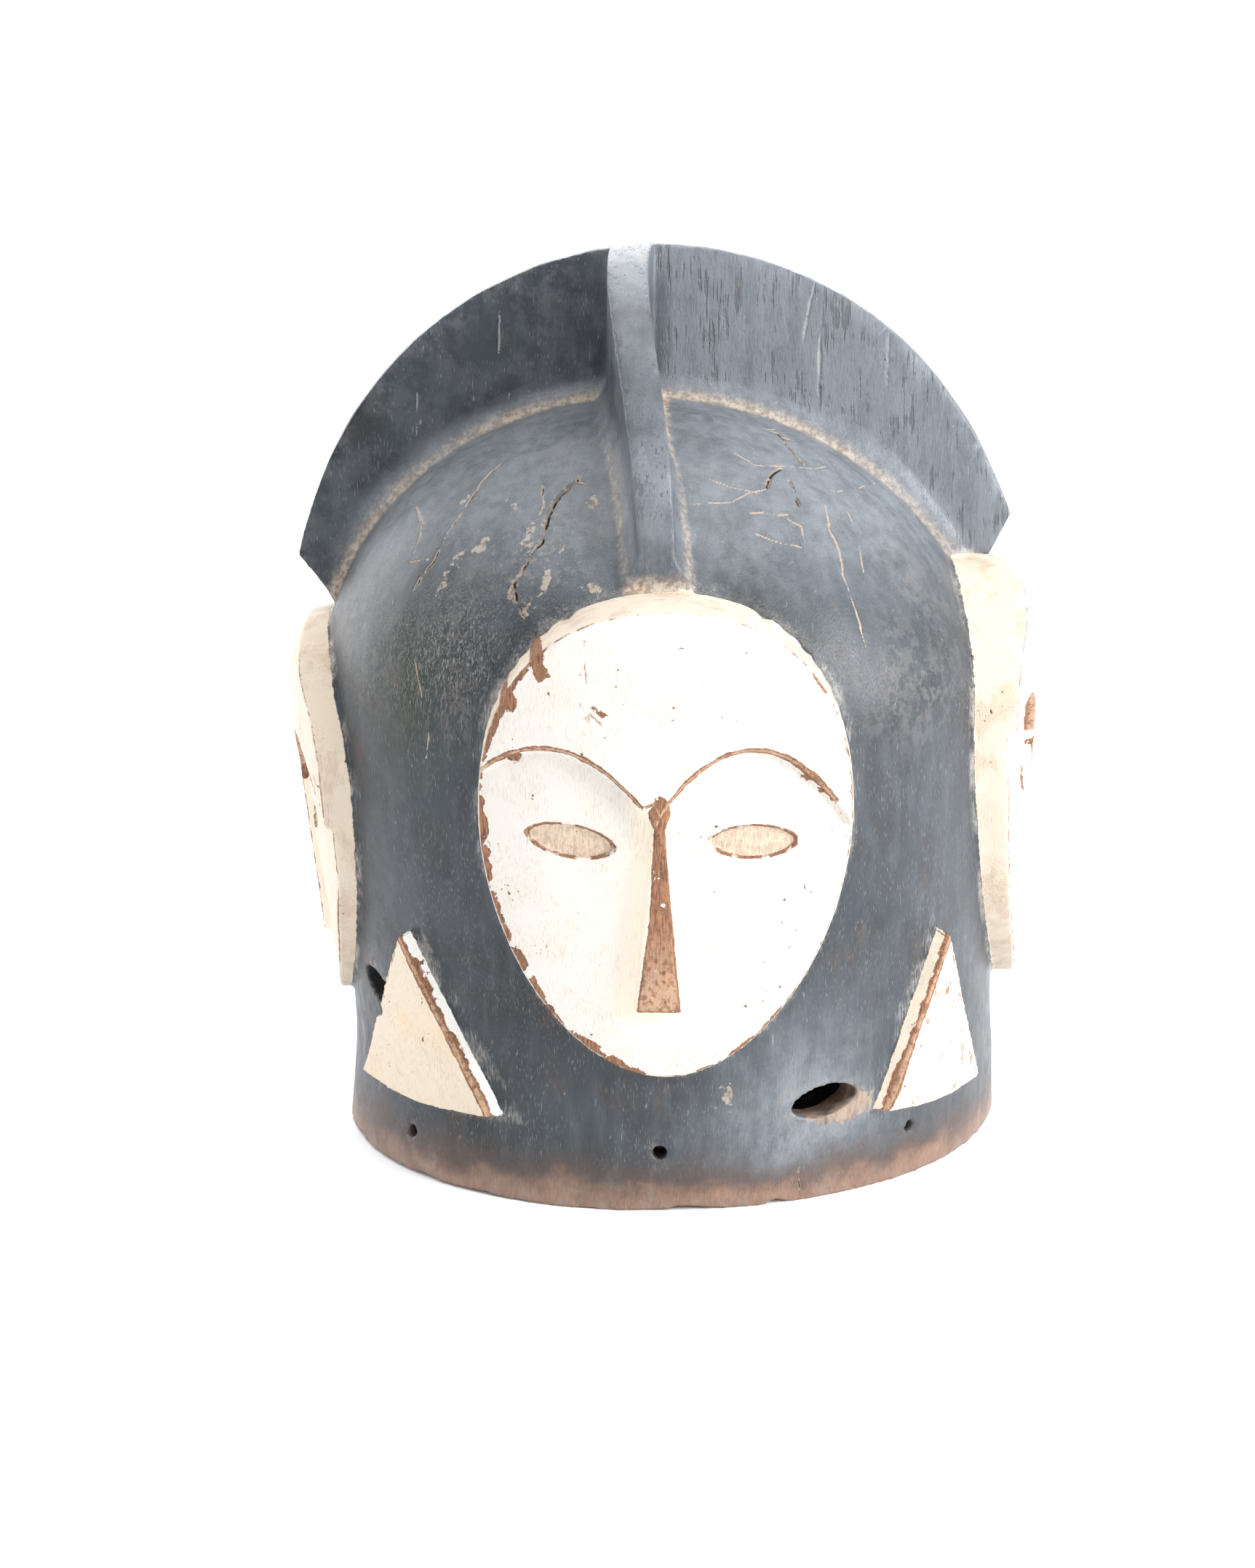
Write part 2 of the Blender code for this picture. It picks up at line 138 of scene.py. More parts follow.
bm = bmesh.new()
turned_skin(bm, 0.0, 0.0)
hollow = turned_skin(bm, WALL, CROWN_WALL)
bmesh.ops.reverse_faces(bm, faces=list({face for vert in hollow for face in vert.link_faces}))
rims = [edge for edge in bm.edges if edge.is_boundary]
bmesh.ops.bridge_loops(bm, edges=rims)
block = made_object("block", bm)
solids = [block]

# The crest and the ridge: two thin upright plates that cross on the dome, left standing when
# the dome was cut down. Their roots run out into the dome in hollow fillets.
CREST_RADIUS = 0.1453
CREST_TIP_RISE = 0.0020
CREST_CENTRE_HEIGHT = 0.2104
CREST_SHIFT = 0.0016
CREST_EDGE_TILT, CREST_EDGE_REACH = math.radians(3.3), math.radians(77.9)
CREST_ROOT_TILT, CREST_ROOT_REACH = math.radians(0.5), math.radians(89.7)
CREST_EDGE_THICKNESS, CREST_ROOT_THICKNESS = 0.0160, 0.0300
RIDGE_TOP = 0.3565
RIDGE_CENTRE_HEIGHT = 0.200
RIDGE_LENGTH = 0.253
RIDGE_END_HEIGHT = 0.254
RIDGE_CROSSING_WIDTH, RIDGE_END_WIDTH = 0.0165, 0.0138
RIDGE_ROOT_WIDTH = 0.0270
RIDGE_SHIFT, RIDGE_WAVER = -0.0009, 0.0029
FILLET_HEIGHT = 0.011
EMBED = 0.006


def dome_reach(centre, way, shrink):
    """Distance from centre along a direction to the dome, shrunk by a share of its size."""
    near, far = 0.02, 0.20
    for _ in range(30):
        middle = (near + far) / 2
        place = centre + way * middle
        across = math.hypot(place.x - float(lean_at(place.z)), place.y) / BARREL_RADIUS
        up = max(0.0, place.z - SHOULDER_HEIGHT) / DOME_RISE
        if math.hypot(across, up) < 1 - shrink:
            near = middle
        else:
            far = middle
    return near


def plate_blank(long_cuts):
    """A two unit cube cut up lengthwise and upwards, with closer cuts near its root."""
    bm = bmesh.new()
    bmesh.ops.create_cube(bm, size=2.0)
    for axis, cuts in ((0, long_cuts), (2, 9), (1, 3)):
        along = [
            edge for edge in bm.edges
            if abs((edge.verts[0].co - edge.verts[1].co)[axis]) > 1e-6
        ]
        bmesh.ops.subdivide_edges(bm, edges=along, cuts=cuts, use_grid_fill=True)
    return bm


def plate_point(root, surface, edge, level, side, root_width, edge_width, out):
    """A point of an upright plate: level runs from 0 at its root to 1 at its outer edge."""
    whole = (edge - root).length
    rise = whole * level ** 1.7
    above = rise - (surface - root).length
    fillet = max(0.0, 1 - max(0.0, above) / FILLET_HEIGHT) ** 2
    width = edge_width + (root_width - edge_width) * fillet
    crown = 0.0007 * side * side if level == 1.0 else 0.0
    return root + (edge - root).normalized() * (rise - crown) + out * (side * width / 2)


bm = plate_blank(79)
centre = Vector((float(lean_at(CREST_CENTRE_HEIGHT)) + CREST_SHIFT, 0, CREST_CENTRE_HEIGHT))
bury = EMBED / BARREL_RADIUS
for vert in bm.verts:
    share, side, level = -vert.co.x, vert.co.y, (vert.co.z + 1) / 2
    edge_turn = CREST_EDGE_TILT + share * CREST_EDGE_REACH
    root_turn = CREST_ROOT_TILT + share * CREST_ROOT_REACH
    edge_way = Vector((-math.sin(edge_turn), 0, math.cos(edge_turn)))
    root_way = Vector((-math.sin(root_turn), 0, math.cos(root_turn)))
    edge = centre + edge_way * (CREST_RADIUS + CREST_TIP_RISE * share ** 8)
    root = centre + root_way * dome_reach(centre, root_way, bury)
    surface = centre + root_way * dome_reach(centre, root_way, 0.0)
    vert.co = plate_point(
        root, surface, edge, level, side,
        CREST_ROOT_THICKNESS, CREST_EDGE_THICKNESS, Vector((0, 1, 0)),
    )
solids.append(made_object("crest", bm))

bm = plate_blank(63)
rise = RIDGE_TOP - RIDGE_CENTRE_HEIGHT
end_turn = math.acos((RIDGE_END_HEIGHT - RIDGE_CENTRE_HEIGHT) / rise)
for vert in bm.verts:
    share, side, level = vert.co.x, vert.co.y, (vert.co.z + 1) / 2
    turn = share * end_turn
    height = RIDGE_CENTRE_HEIGHT + rise * math.cos(turn)
    edge = Vector((float(lean_at(height)), -RIDGE_LENGTH / 2 * math.sin(turn), height))
    low = Vector((0, 0, SHOULDER_HEIGHT))
    way = Vector((0, edge.y, height - SHOULDER_HEIGHT)).normalized()
    upright = max(0.0, abs(share) - 0.80) / 0.20
    foot = SHOULDER_HEIGHT + DOME_RISE * math.sqrt(max(0.0, 1 - (edge.y / BARREL_RADIUS) ** 2))
    reach = dome_reach(low, way, 0.0)
    surface = (low + way * reach).lerp(Vector((0, edge.y, foot)), upright)
    root = (low + way * (reach - EMBED)).lerp(Vector((0, edge.y, foot - 1.5 * EMBED)), upright)
    surface.x = root.x = edge.x
    width = RIDGE_CROSSING_WIDTH + (RIDGE_END_WIDTH - RIDGE_CROSSING_WIDTH) * abs(share)
    vert.co = plate_point(
        root, surface, edge, level, side, RIDGE_ROOT_WIDTH, width, Vector((1, 0, 0)),
    )
    vert.co.x += RIDGE_SHIFT - RIDGE_WAVER * math.sin(1.5 * math.pi * share)
solids.append(made_object("ridge", bm))

# The four faces: egg-shaped plates, each cut back below the brows so that the brow line and
# the long narrow nose stay proud, with a shallow sunk almond for each eye.
DIRECTIONS = {"front": 0, "right": 90, "back": 180, "left": -90}
FACE_RADIUS = {"front": 0.1515, "right": 0.1535, "back": 0.1515, "left": 0.1490}
FACE_WIDTH = 0.137
FACE_BOTTOM = {"front": 0.056, "right": 0.058, "back": 0.056, "left": 0.051}
FACE_TOP = {"front": 0.231, "right": 0.230, "back": 0.226, "left": 0.2085}
TOP_SLOPE = 0.004
FOREHEAD_ROUND = {"front": 0.004, "right": 0.007, "back": 0.006, "left": 0.009}
ROUND_HEIGHT = 0.022
NOSE_FALL = {"front": 0.0045, "right": 0.0065, "back": 0.0050, "left": 0.0055}
WIDEST_SHARE = 0.566
FOREHEAD_POWER, JAW_POWER = 2.3, 1.87
CHEEK_DEPTH = 0.0035
CHIN_DEPTH = 0.0115
SLOPE_SHARE = 0.50
HOLLOW_DEPTH, HOLLOW_WIDTH = 0.0027, 0.030
BROW_RUN = 0.0016
BROW_TOP_SHARE = 0.717
BROW_PEAKS = {-1: 0.041, 1: 0.033}
BROW_CURVES = {-1: 17.5, 1: 21.5}
NOSE_SHIFT = -0.0025
NOSE_ROOT_SHARE, NOSE_TIP_SHARE = 0.571, 0.155
NOSE_ROOT_WIDTH, NOSE_TIP_WIDTH = 0.0040, 0.0165
NOSE_FLARE = 0.0014
EYE_LENGTH, EYE_HEIGHT, EYE_DEPTH = 0.032, 0.012, 0.0020
EYE_PLACES = {-1: (-0.0347, math.radians(-9)), 1: (0.0315, math.radians(-1))}
EYE_SHARE = 0.520
ALMOND_POWER = 1.15
FLAT_BACK = -0.050
FACE_CUTS = 30


def power(value, exponent):
    return np.copysign(np.abs(value) ** exponent, value)


def prism(outline_face, bm, back_depth, back_moved=None):
    """Pushes a flat face back into a solid. back_moved may change the far outline."""
    grown = bmesh.ops.extrude_face_region(bm, geom=[outline_face])
    for vert in [item for item in grown["geom"] if isinstance(item, bmesh.types.BMVert)]:
        vert.co.y = back_depth
        if back_moved:
            back_moved(vert.co)


def cut_from(target, cutter):
    modifier = target.modifiers.new(cutter.name, "BOOLEAN")
    modifier.operation = "DIFFERENCE"
    modifier.solver = "MANIFOLD"
    modifier.object = cutter


def with_cuts(obj, cutters):
    """The object's mesh with its cuts applied, as a bmesh; the object and cutters are removed."""
    graph = bpy.context.evaluated_depsgraph_get()
    mesh = bpy.data.meshes.new_from_object(obj.evaluated_get(graph))
    bm = bmesh.new()
    bm.from_mesh(mesh)
    for gone in [obj] + cutters:
        bpy.data.objects.remove(gone, do_unlink=True)
    return bm


def slice_up(bm, axis, places):
    for place in places:
        point, normal = Vector((0, 0, 0)), Vector((0, 0, 0))
        point[axis] = place
        normal[axis] = 1
        parts = bm.verts[:] + bm.edges[:] + bm.faces[:]
        bmesh.ops.bisect_plane(bm, geom=parts, plane_co=point, plane_no=normal, dist=1e-6)


def egg_point(turn, bottom, height):
    """The egg outline: rounder above its widest line and pointed at the chin."""
    above = math.sin(turn) > 0
    exponent = 2 / (FOREHEAD_POWER if above else JAW_POWER)
    reach = height * (1 - WIDEST_SHARE) if above else height * WIDEST_SHARE
    across = FACE_WIDTH / 2 * float(power(math.cos(turn), exponent))
    return across, bottom + WIDEST_SHARE * height + reach * float(power(math.sin(turn), exponent))


def brow_level(across, bottom, height):
    """Height of the brow line; across counts from the middle of the nose."""
    side = np.where(across < 0, -1, 1)
    peak = np.where(side < 0, BROW_PEAKS[-1], BROW_PEAKS[1])
    curve = np.where(side < 0, BROW_CURVES[-1], BROW_CURVES[1])
    return bottom + BROW_TOP_SHARE * height - curve * (np.abs(across) - peak) ** 2


def nose_span(bottom, height):
    """Heights of the nose's root and tip."""
    return bottom + NOSE_ROOT_SHARE * height, bottom + NOSE_TIP_SHARE * height


def nose_half_width(level, bottom, height):
    root, tip = nose_span(bottom, height)
    share = np.clip((root - level) / (root - tip), 0.0, 1.0)
    width = NOSE_ROOT_WIDTH + (NOSE_TIP_WIDTH - NOSE_ROOT_WIDTH) * share ** 1.15
    return width / 2


def cheek_cutter(side, bottom, height):
    """The wood taken away below one brow, beside the nose: a strip pulled up to the brow."""
    bm = bmesh.new()
    bmesh.ops.create_grid(bm, x_segments=40, y_segments=16, size=1.0)
    root, tip = nose_span(bottom, height)
    outer = FACE_WIDTH / 2 + 0.010
    top = bmesh.ops.extrude_face_region(bm, geom=bm.faces[:])
    floor = {item for item in top["geom"] if isinstance(item, bmesh.types.BMVert)}
    for vert in bm.verts:
        share, rise = (vert.co.x + 1) / 2, (vert.co.y + 1) / 2
        run = BROW_RUN if vert in floor else -BROW_RUN
        flare = NOSE_FLARE if vert in floor else -NOSE_FLARE
        low = tip - 0.003
        inner = float(nose_half_width(low + (root - low) * rise, bottom, height)) + flare
        across = inner + (outer - inner) * share ** 1.3
        brow = float(brow_level(side * across, bottom, height))
        if share == 0.0:
            brow = min(brow, root)
        level = low + (brow - run - low) * rise
        depth = -CHEEK_DEPTH if vert in floor else 0.9 * CHEEK_DEPTH
        vert.co = (side * across + NOSE_SHIFT, depth, level)
    return made_object("cheek", bm)


def chin_cutter(bottom, height):
    """The wood taken away below the tip of the nose, right across the chin."""
    bm = bmesh.new()
    bmesh.ops.create_cube(bm, size=2.0)
    tip = nose_span(bottom, height)[1]
    for vert in bm.verts:
        back = vert.co.y < 0
        lip = tip - NOSE_FLARE / 2 if back else tip + NOSE_FLARE / 2
        level = lip if vert.co.z > 0 else bottom - 0.02
        vert.co = (vert.co.x * 0.08, -1.01 * CHEEK_DEPTH if back else CHEEK_DEPTH, level)
    return made_object("chin", bm)


def almond_point(turn, length, height, tilt):
    across, up = length / 2 * math.cos(turn), height / 2 * float(power(math.sin(turn), ALMOND_POWER))
    return (
        across * math.cos(tilt) - up * math.sin(tilt),
        across * math.sin(tilt) + up * math.cos(tilt),
    )


def eye_cutter(side, bottom, height):
    bm = bmesh.new()
    circle = bmesh.ops.create_circle(bm, cap_ends=True, segments=40, radius=1.0)
    middle, tilt = EYE_PLACES[side]
    level = bottom + EYE_SHARE * height
    for vert in circle["verts"]:
        turn = math.atan2(vert.co.y, vert.co.x)
        across, up = almond_point(turn, EYE_LENGTH, EYE_HEIGHT, tilt)
        vert.co = (middle + across, 0.004, level + up)
    prism(bm.faces[:][0], bm, -CHEEK_DEPTH - EYE_DEPTH)
    return made_object("eye", bm)


def cheek_fall(name, across, level):
    """How much further back the cheeks lie than the flat cut."""
    bottom = FACE_BOTTOM[name]
    height = FACE_TOP[name] - bottom
    slope_from = bottom + SLOPE_SHARE * height
    slope = max(0.0, slope_from - level) / (slope_from - bottom)
    tip = nose_span(bottom, height)[1]
    fade = min(1.0, max(0.0, (level - tip + 0.012) / 0.03))
    hollow = math.exp(-((across - NOSE_SHIFT) / HOLLOW_WIDTH) ** 2) * fade
    return (CHIN_DEPTH - CHEEK_DEPTH) * slope + HOLLOW_DEPTH * hollow


def carved_face(name):
    bottom = FACE_BOTTOM[name]
    height = FACE_TOP[name] - bottom
    bm = bmesh.new()
    circle = bmesh.ops.create_circle(bm, cap_ends=True, segments=128, radius=1.0)
    for vert in circle["verts"]:
        across, level = egg_point(math.atan2(vert.co.y, vert.co.x), bottom, height)
        vert.co = (across, 0.0, level)

    def raised(co):
        co.z = bottom + (co.z - bottom) * (1 + TOP_SLOPE / height)

    prism(bm.faces[:][0], bm, FLAT_BACK, raised)
    plate = made_object("plate", bm)
    cutters = [cheek_cutter(side, bottom, height) for side in (-1, 1)]
    cutters += [chin_cutter(bottom, height)]
    cutters += [eye_cutter(side, bottom, height) for side in (-1, 1)]
    for cutter in cutters:
        cut_from(plate, cutter)
    bm = with_cuts(plate, cutters)
    slice_up(bm, 0, [FACE_WIDTH * (i / FACE_CUTS - 0.5) for i in range(1, FACE_CUTS)])
    slice_up(bm, 2, [bottom + height * i / FACE_CUTS for i in range(1, FACE_CUTS)])

    azimuth = math.radians(DIRECTIONS[name])
    along, outward = map(Vector, compass(azimuth))
    middle_shift = float(lean_at(bottom + height / 2)) * along.x
    round_from = bottom + height - ROUND_HEIGHT
    root, tip = nose_span(bottom, height)
    for vert in bm.verts:
        across, depth, level = vert.co
        lean = Vector((float(lean_at(level)), 0, 0))
        if depth < FLAT_BACK / 2:
            aside = across + middle_shift - lean.dot(along)
            turn = azimuth + math.asin(max(-0.9, min(0.9, aside / BARREL_RADIUS)))
            radius = float(block_radius(turn, level)) - EMBED
            reach = math.sqrt(max(radius ** 2 - aside ** 2, 0.0))
        else:
            beside_nose = abs(across - NOSE_SHIFT)
            if depth < -CHEEK_DEPTH / 2:
                depth -= cheek_fall(name, across, level)
            elif level < root and beside_nose < NOSE_TIP_WIDTH:
                depth -= NOSE_FALL[name] * (root - level) / (root - tip)
            if level > round_from:
                depth -= FOREHEAD_ROUND[name] * ((level - round_from) / ROUND_HEIGHT) ** 2
            reach = depth + math.sqrt(FACE_RADIUS[name] ** 2 - across ** 2)
        place = along * (across + middle_shift) + outward * (reach + lean.dot(outward))
        vert.co = (place.x, place.y, level)
    bmesh.ops.triangulate(bm, faces=bm.faces)
    return made_object("face_" + name, bm)


faces = [carved_face(name) for name in DIRECTIONS]
solids += faces

# The raised triangles between the faces: low flat plates that follow the barrel, with a
# bevelled band along the edge that looks towards the front or the back face.
TRIANGLE_PROUD = 0.0064
TRIANGLE_BEVEL = 0.0068
TRIANGLE_BASE_HEIGHT = 0.033
TRIANGLE_HEIGHT = 0.070
TRIANGLE_BASE_DIP = 0.002
TRIANGLE_WIDTHS = {-46: 0.084, 47: 0.066, 134: 0.072, -134: 0.072}


def inner_side(degrees):
    """Which side of a triangle, as seen from outside, looks to the front or back face."""
    return -1 if 0 < degrees < 90 or degrees < -90 else 1


def raised_triangle(degrees, base_width):
    azimuth = math.radians(degrees)
    inner = inner_side(degrees)
    half = base_width / 2
    top = TRIANGLE_BASE_HEIGHT + TRIANGLE_HEIGHT

    def corners(inset):
        return [
            (-inner * half, TRIANGLE_BASE_HEIGHT),
            (0.0, TRIANGLE_BASE_HEIGHT - TRIANGLE_BASE_DIP),
            (inner * (half - inset), TRIANGLE_BASE_HEIGHT),
            (-inner * inset * 0.5, top - inset * 0.6),
        ]

    bm = bmesh.new()
    drop = -TRIANGLE_PROUD - EMBED
    front = [bm.verts.new((across, 0.0, level)) for across, level in corners(TRIANGLE_BEVEL)]
    back = iter(corners(0.0))
    top_face = bm.faces.new(front)

    def spread(co):
        co.x, co.z = next(back)

    prism(top_face, bm, drop, spread)
    slice_up(bm, 0, [base_width * (i / 24 - 0.5) for i in range(1, 24)])
    slice_up(bm, 2, [TRIANGLE_BASE_HEIGHT + TRIANGLE_HEIGHT * i / 12 for i in range(1, 12)])
    along, outward = map(Vector, compass(azimuth))
    middle_shift = float(lean_at(TRIANGLE_BASE_HEIGHT + TRIANGLE_HEIGHT / 3)) * along.x
    for vert in bm.verts:
        across, depth, level = vert.co
        lean = Vector((float(lean_at(level)), 0, 0))
        aside = across + middle_shift - lean.dot(along)
        turn = azimuth + math.asin(aside / BARREL_RADIUS)
        radius = float(block_radius(turn, level)) + TRIANGLE_PROUD + depth
        reach = math.sqrt(max(radius ** 2 - aside ** 2, 0.0))
        place = along * (across + middle_shift) + outward * (reach + lean.dot(outward))
        vert.co = (place.x, place.y, level)
    bmesh.ops.triangulate(bm, faces=bm.faces)
    return made_object("triangle", bm)


triangles = [raised_triangle(*item) for item in TRIANGLE_WIDTHS.items()]
solids += triangles

# The lookout slots and the tie holes: two almond slots cut slanting through the wall for the
# wearer's eyes, and eight drilled holes near the rim where a fibre collar was tied.
SLOT_LENGTH, SLOT_HEIGHT = 0.028, 0.012
SLOT_PLACES = {25: 0.040, -60: 0.068}
SLOT_TILTS = {25: math.radians(8), -60: math.radians(-24)}
HOLE_RADIUS = 0.0026
HOLE_COUNT = 8
HOLE_SPACING, HOLE_FIRST = math.radians(46.9), math.radians(-3.3)
HOLE_HEIGHT, HOLE_SWAY = 0.0185, 0.005


def hole_place(number):
    quarter = 0.5 * math.pi * number
    height = HOLE_HEIGHT + HOLE_SWAY * (math.cos(quarter) + 0.5 * math.sin(quarter))
    return HOLE_FIRST + number * HOLE_SPACING, height


def add_cutter(bm, azimuth, height, length, width, tilt, segments):
    """A tapering peg through the wall, a little wider outside where the knife went in."""
    circle = bmesh.ops.create_circle(bm, cap_ends=True, segments=segments, radius=1.0)
    along, outward = map(Vector, compass(azimuth))
    middle = Vector((float(lean_at(height)), 0, height))
    cap = circle["verts"][0].link_faces[0]
    grown = bmesh.ops.extrude_face_region(bm, geom=[cap])
    far = {item for item in grown["geom"] if isinstance(item, bmesh.types.BMVert)}
    for vert in list(far) + circle["verts"]:
        turn = math.atan2(vert.co.y, vert.co.x)
        size = 1.06 if vert in far else 0.92
        across, up = almond_point(turn, length * size, width * size, tilt)
        reach = BARREL_RADIUS + (0.026 if vert in far else -0.033)
        vert.co = middle + along * across + outward * reach + Vector((0, 0, up))


def cutters_object():
    bm = bmesh.new()
    for degrees, height in SLOT_PLACES.items():
        azimuth, tilt = math.radians(degrees), SLOT_TILTS[degrees]
        add_cutter(bm, azimuth, height, SLOT_LENGTH, SLOT_HEIGHT, tilt, 32)
    first = -(HOLE_COUNT // 2 - 1)
    for number in range(first, first + HOLE_COUNT):
        azimuth, height = hole_place(number)
        add_cutter(bm, azimuth, height, 2 * HOLE_RADIUS, 2 * HOLE_RADIUS, 0.0, 16)
    return made_object("holes", bm)


cutters = cutters_object()
for solid in [block] + triangles:
    cut_from(solid, cutters)

# All these forms are one piece of wood. The solids are joined into one skin, its edges are
# rounded by wear, and the tools' traces and the uneven rim are carved into it.
FAR = 0.1
EDGE_WEAR, EDGE_WEAR_ROUNDS = 0.35, 1
RIM_NOTCH, RIM_LIFT = 0.0024, 0.0012
TRIANGLE_LIMIT = 142000


def finished_mesh(obj):
    """Applies the object's modifiers to its mesh."""
    graph = bpy.context.evaluated_depsgraph_get()
    mesh = bpy.data.meshes.new_from_object(obj.evaluated_get(graph))
    obj.modifiers.clear()
    old = obj.data
    obj.data = mesh
    bpy.data.meshes.remove(old)


def places_of(mesh):
    values = np.empty(3 * len(mesh.vertices))
    mesh.vertices.foreach_get("co", values)
    return values.reshape(-1, 3)


def normals_of(mesh):
    values = np.empty(3 * len(mesh.vertices), np.float32)
    mesh.vertex_normals.foreach_get("vector", values)
    return values.reshape(-1, 3).astype(float)


def move_to(mesh, places):
    mesh.vertices.foreach_set("co", places.ravel())
    mesh.update()


def cell_values(cells, seed):
    """A repeatable value from 0 to 1 for each whole-numbered cell."""
    table = np.random.default_rng(seed).random(4099)
    mixed = cells[:, 0] * 73856093 ^ cells[:, 1] * 19349663 ^ cells[:, 2] * 83492791
    return table[np.mod(mixed, 4099)]


def lumps(places, size, seed):
    """Soft random lumps of a size in metres, from about -1 to 1."""
    cell = places / np.array(size)
    base = np.floor(cell).astype(np.int64)
    part = cell - base
    part = part * part * (3 - 2 * part)
    total = np.zeros(len(places))
    for corner in range(8):
        step = np.array([corner & 1, corner >> 1 & 1, corner >> 2 & 1])
        weight = np.prod(np.where(step, part, 1 - part), axis=1)
        total += weight * cell_values(base + step, seed)
    return 2 * total - 1


def scoops(places, size, seed):
    """Shallow overlapping tool cuts: 1 at the bottom of each, 0 at the ridges between them."""
    cell = places / np.array(size)
    base = np.floor(cell).astype(np.int64)
    nearest = np.full(len(places), 9.0)
    for corner in range(27):
        step = np.array([corner % 3 - 1, corner // 3 % 3 - 1, corner // 9 - 1])
        cells = base + step
        away = np.zeros(len(places))
        for axis in range(3):
            middle = cells[:, axis] + cell_values(cells, seed + axis)
            away += (cell[:, axis] - middle) ** 2
        nearest = np.minimum(nearest, away)
    return np.clip(1 - nearest / 0.6, 0.0, 1.0)


def soft_step(value, low, high):
    share = np.clip((value - low) / (high - low), 0.0, 1.0)
    return share * share * (3 - 2 * share)


def near_spot(value, middle, spread):
    return np.exp(-((value - middle) / spread) ** 2)


def block_measures(places):
    """Azimuth and height of each point, and how far it stands proud of the block's skin."""
    aside = places[:, 0] - lean_at(places[:, 2])
    azimuth = np.arctan2(aside, -places[:, 1])
    height = places[:, 2]
    flat = block_radius(azimuth, np.minimum(height, SHOULDER_HEIGHT))
    out = np.hypot(aside, places[:, 1]) / flat
    up = np.maximum(0.0, height - SHOULDER_HEIGHT) / DOME_RISE
    return azimuth, height, (np.hypot(out, up) - 1) * flat


def face_measures(places, name, proud):
    """Across a face, and the distance inside its outline."""
    along, outward = map(np.array, compass(math.radians(DIRECTIONS[name])))
    bottom = FACE_BOTTOM[name]
    height = FACE_TOP[name] - bottom
    middle_shift = float(lean_at(bottom + height / 2)) * along[0]
    across = places @ along - middle_shift
    out = places @ outward - lean_at(places[:, 2]) * outward[0]
    curve = np.sqrt(np.maximum(FACE_RADIUS[name] ** 2 - across ** 2, 0.0))
    depth = curve - out
    back = np.clip(depth / np.maximum(depth + proud + EMBED, 1e-4), 0.0, 1.0)
    level = bottom + (places[:, 2] - bottom) / (1 + back * TOP_SLOPE / height)
    middle = bottom + WIDEST_SHARE * height
    above = level > middle
    reach = np.where(above, height * (1 - WIDEST_SHARE), height * WIDEST_SHARE)
    exponent = np.where(above, FOREHEAD_POWER, JAW_POWER)
    share = (2 * np.abs(across) / FACE_WIDTH) ** exponent
    share = (share + (np.abs(level - middle) / reach) ** exponent) ** (1 / exponent)
    inside = np.hypot(across, level - middle) * (1 / np.maximum(share, 0.05) - 1)
    inside = np.where(out > 0.03, inside, -FAR)
    return across, inside


def triangle_measures(places, degrees, base_width):
    """Distance inside a triangle's outline, and from the line where its bevel starts."""
    along, outward = map(np.array, compass(math.radians(degrees)))
    middle_shift = float(lean_at(TRIANGLE_BASE_HEIGHT + TRIANGLE_HEIGHT / 3)) * along[0]
    across = (places @ along - middle_shift) * inner_side(degrees)
    up = places[:, 2] - TRIANGLE_BASE_HEIGHT
    half = base_width / 2
    slant = math.hypot(TRIANGLE_HEIGHT, half)
    dip = TRIANGLE_BASE_DIP * np.clip(1 - np.abs(across) / half, 0.0, 1.0)
    to_inner = ((half - across) * TRIANGLE_HEIGHT - up * half) / slant
    to_outer = ((half + across) * TRIANGLE_HEIGHT - up * half) / slant
    inside = np.minimum(np.minimum(to_inner, to_outer), up + dip)
    inside = np.where(places @ outward > 0.03, inside, -FAR)
    return inside, to_inner - 0.82 * TRIANGLE_BEVEL


def chalk_measures(places, proud):
    """Distance inside the painted white parts, with the face or triangle that it belongs to."""
    best = np.full(len(places), -FAR)
    owner = np.zeros(len(places), int)
    found = []
    for number, name in enumerate(DIRECTIONS):
        across, inside = face_measures(places, name, proud)
        chalk = np.minimum(inside + 0.0012, proud - 0.0009)
        found.append((across, inside))
        owner = np.where(chalk > best, number, owner)
        best = np.maximum(best, chalk)
    for number, item in enumerate(TRIANGLE_WIDTHS.items()):
        inside, to_line = triangle_measures(places, *item)
        chalk = np.minimum(inside + 0.0008, proud - 0.0008)
        found.append((to_line, inside))
        owner = np.where(chalk > best, number + len(DIRECTIONS), owner)
        best = np.maximum(best, chalk)
    return best, owner, found


whole = bmesh.new()
graph = bpy.context.evaluated_depsgraph_get()
for solid in solids:
    mesh = bpy.data.meshes.new_from_object(solid.evaluated_get(graph))
    whole.from_mesh(mesh)
for gone in solids + [cutters]:
    bpy.data.objects.remove(gone, do_unlink=True)
mask = made_object("mask", whole)
remesh = mask.modifiers.new("joined", "REMESH")
remesh.mode = "VOXEL"
remesh.voxel_size = VOXEL
worn = mask.modifiers.new("worn", "SMOOTH")
worn.factor = EDGE_WEAR
worn.iterations = EDGE_WEAR_ROUNDS
finished_mesh(mask)

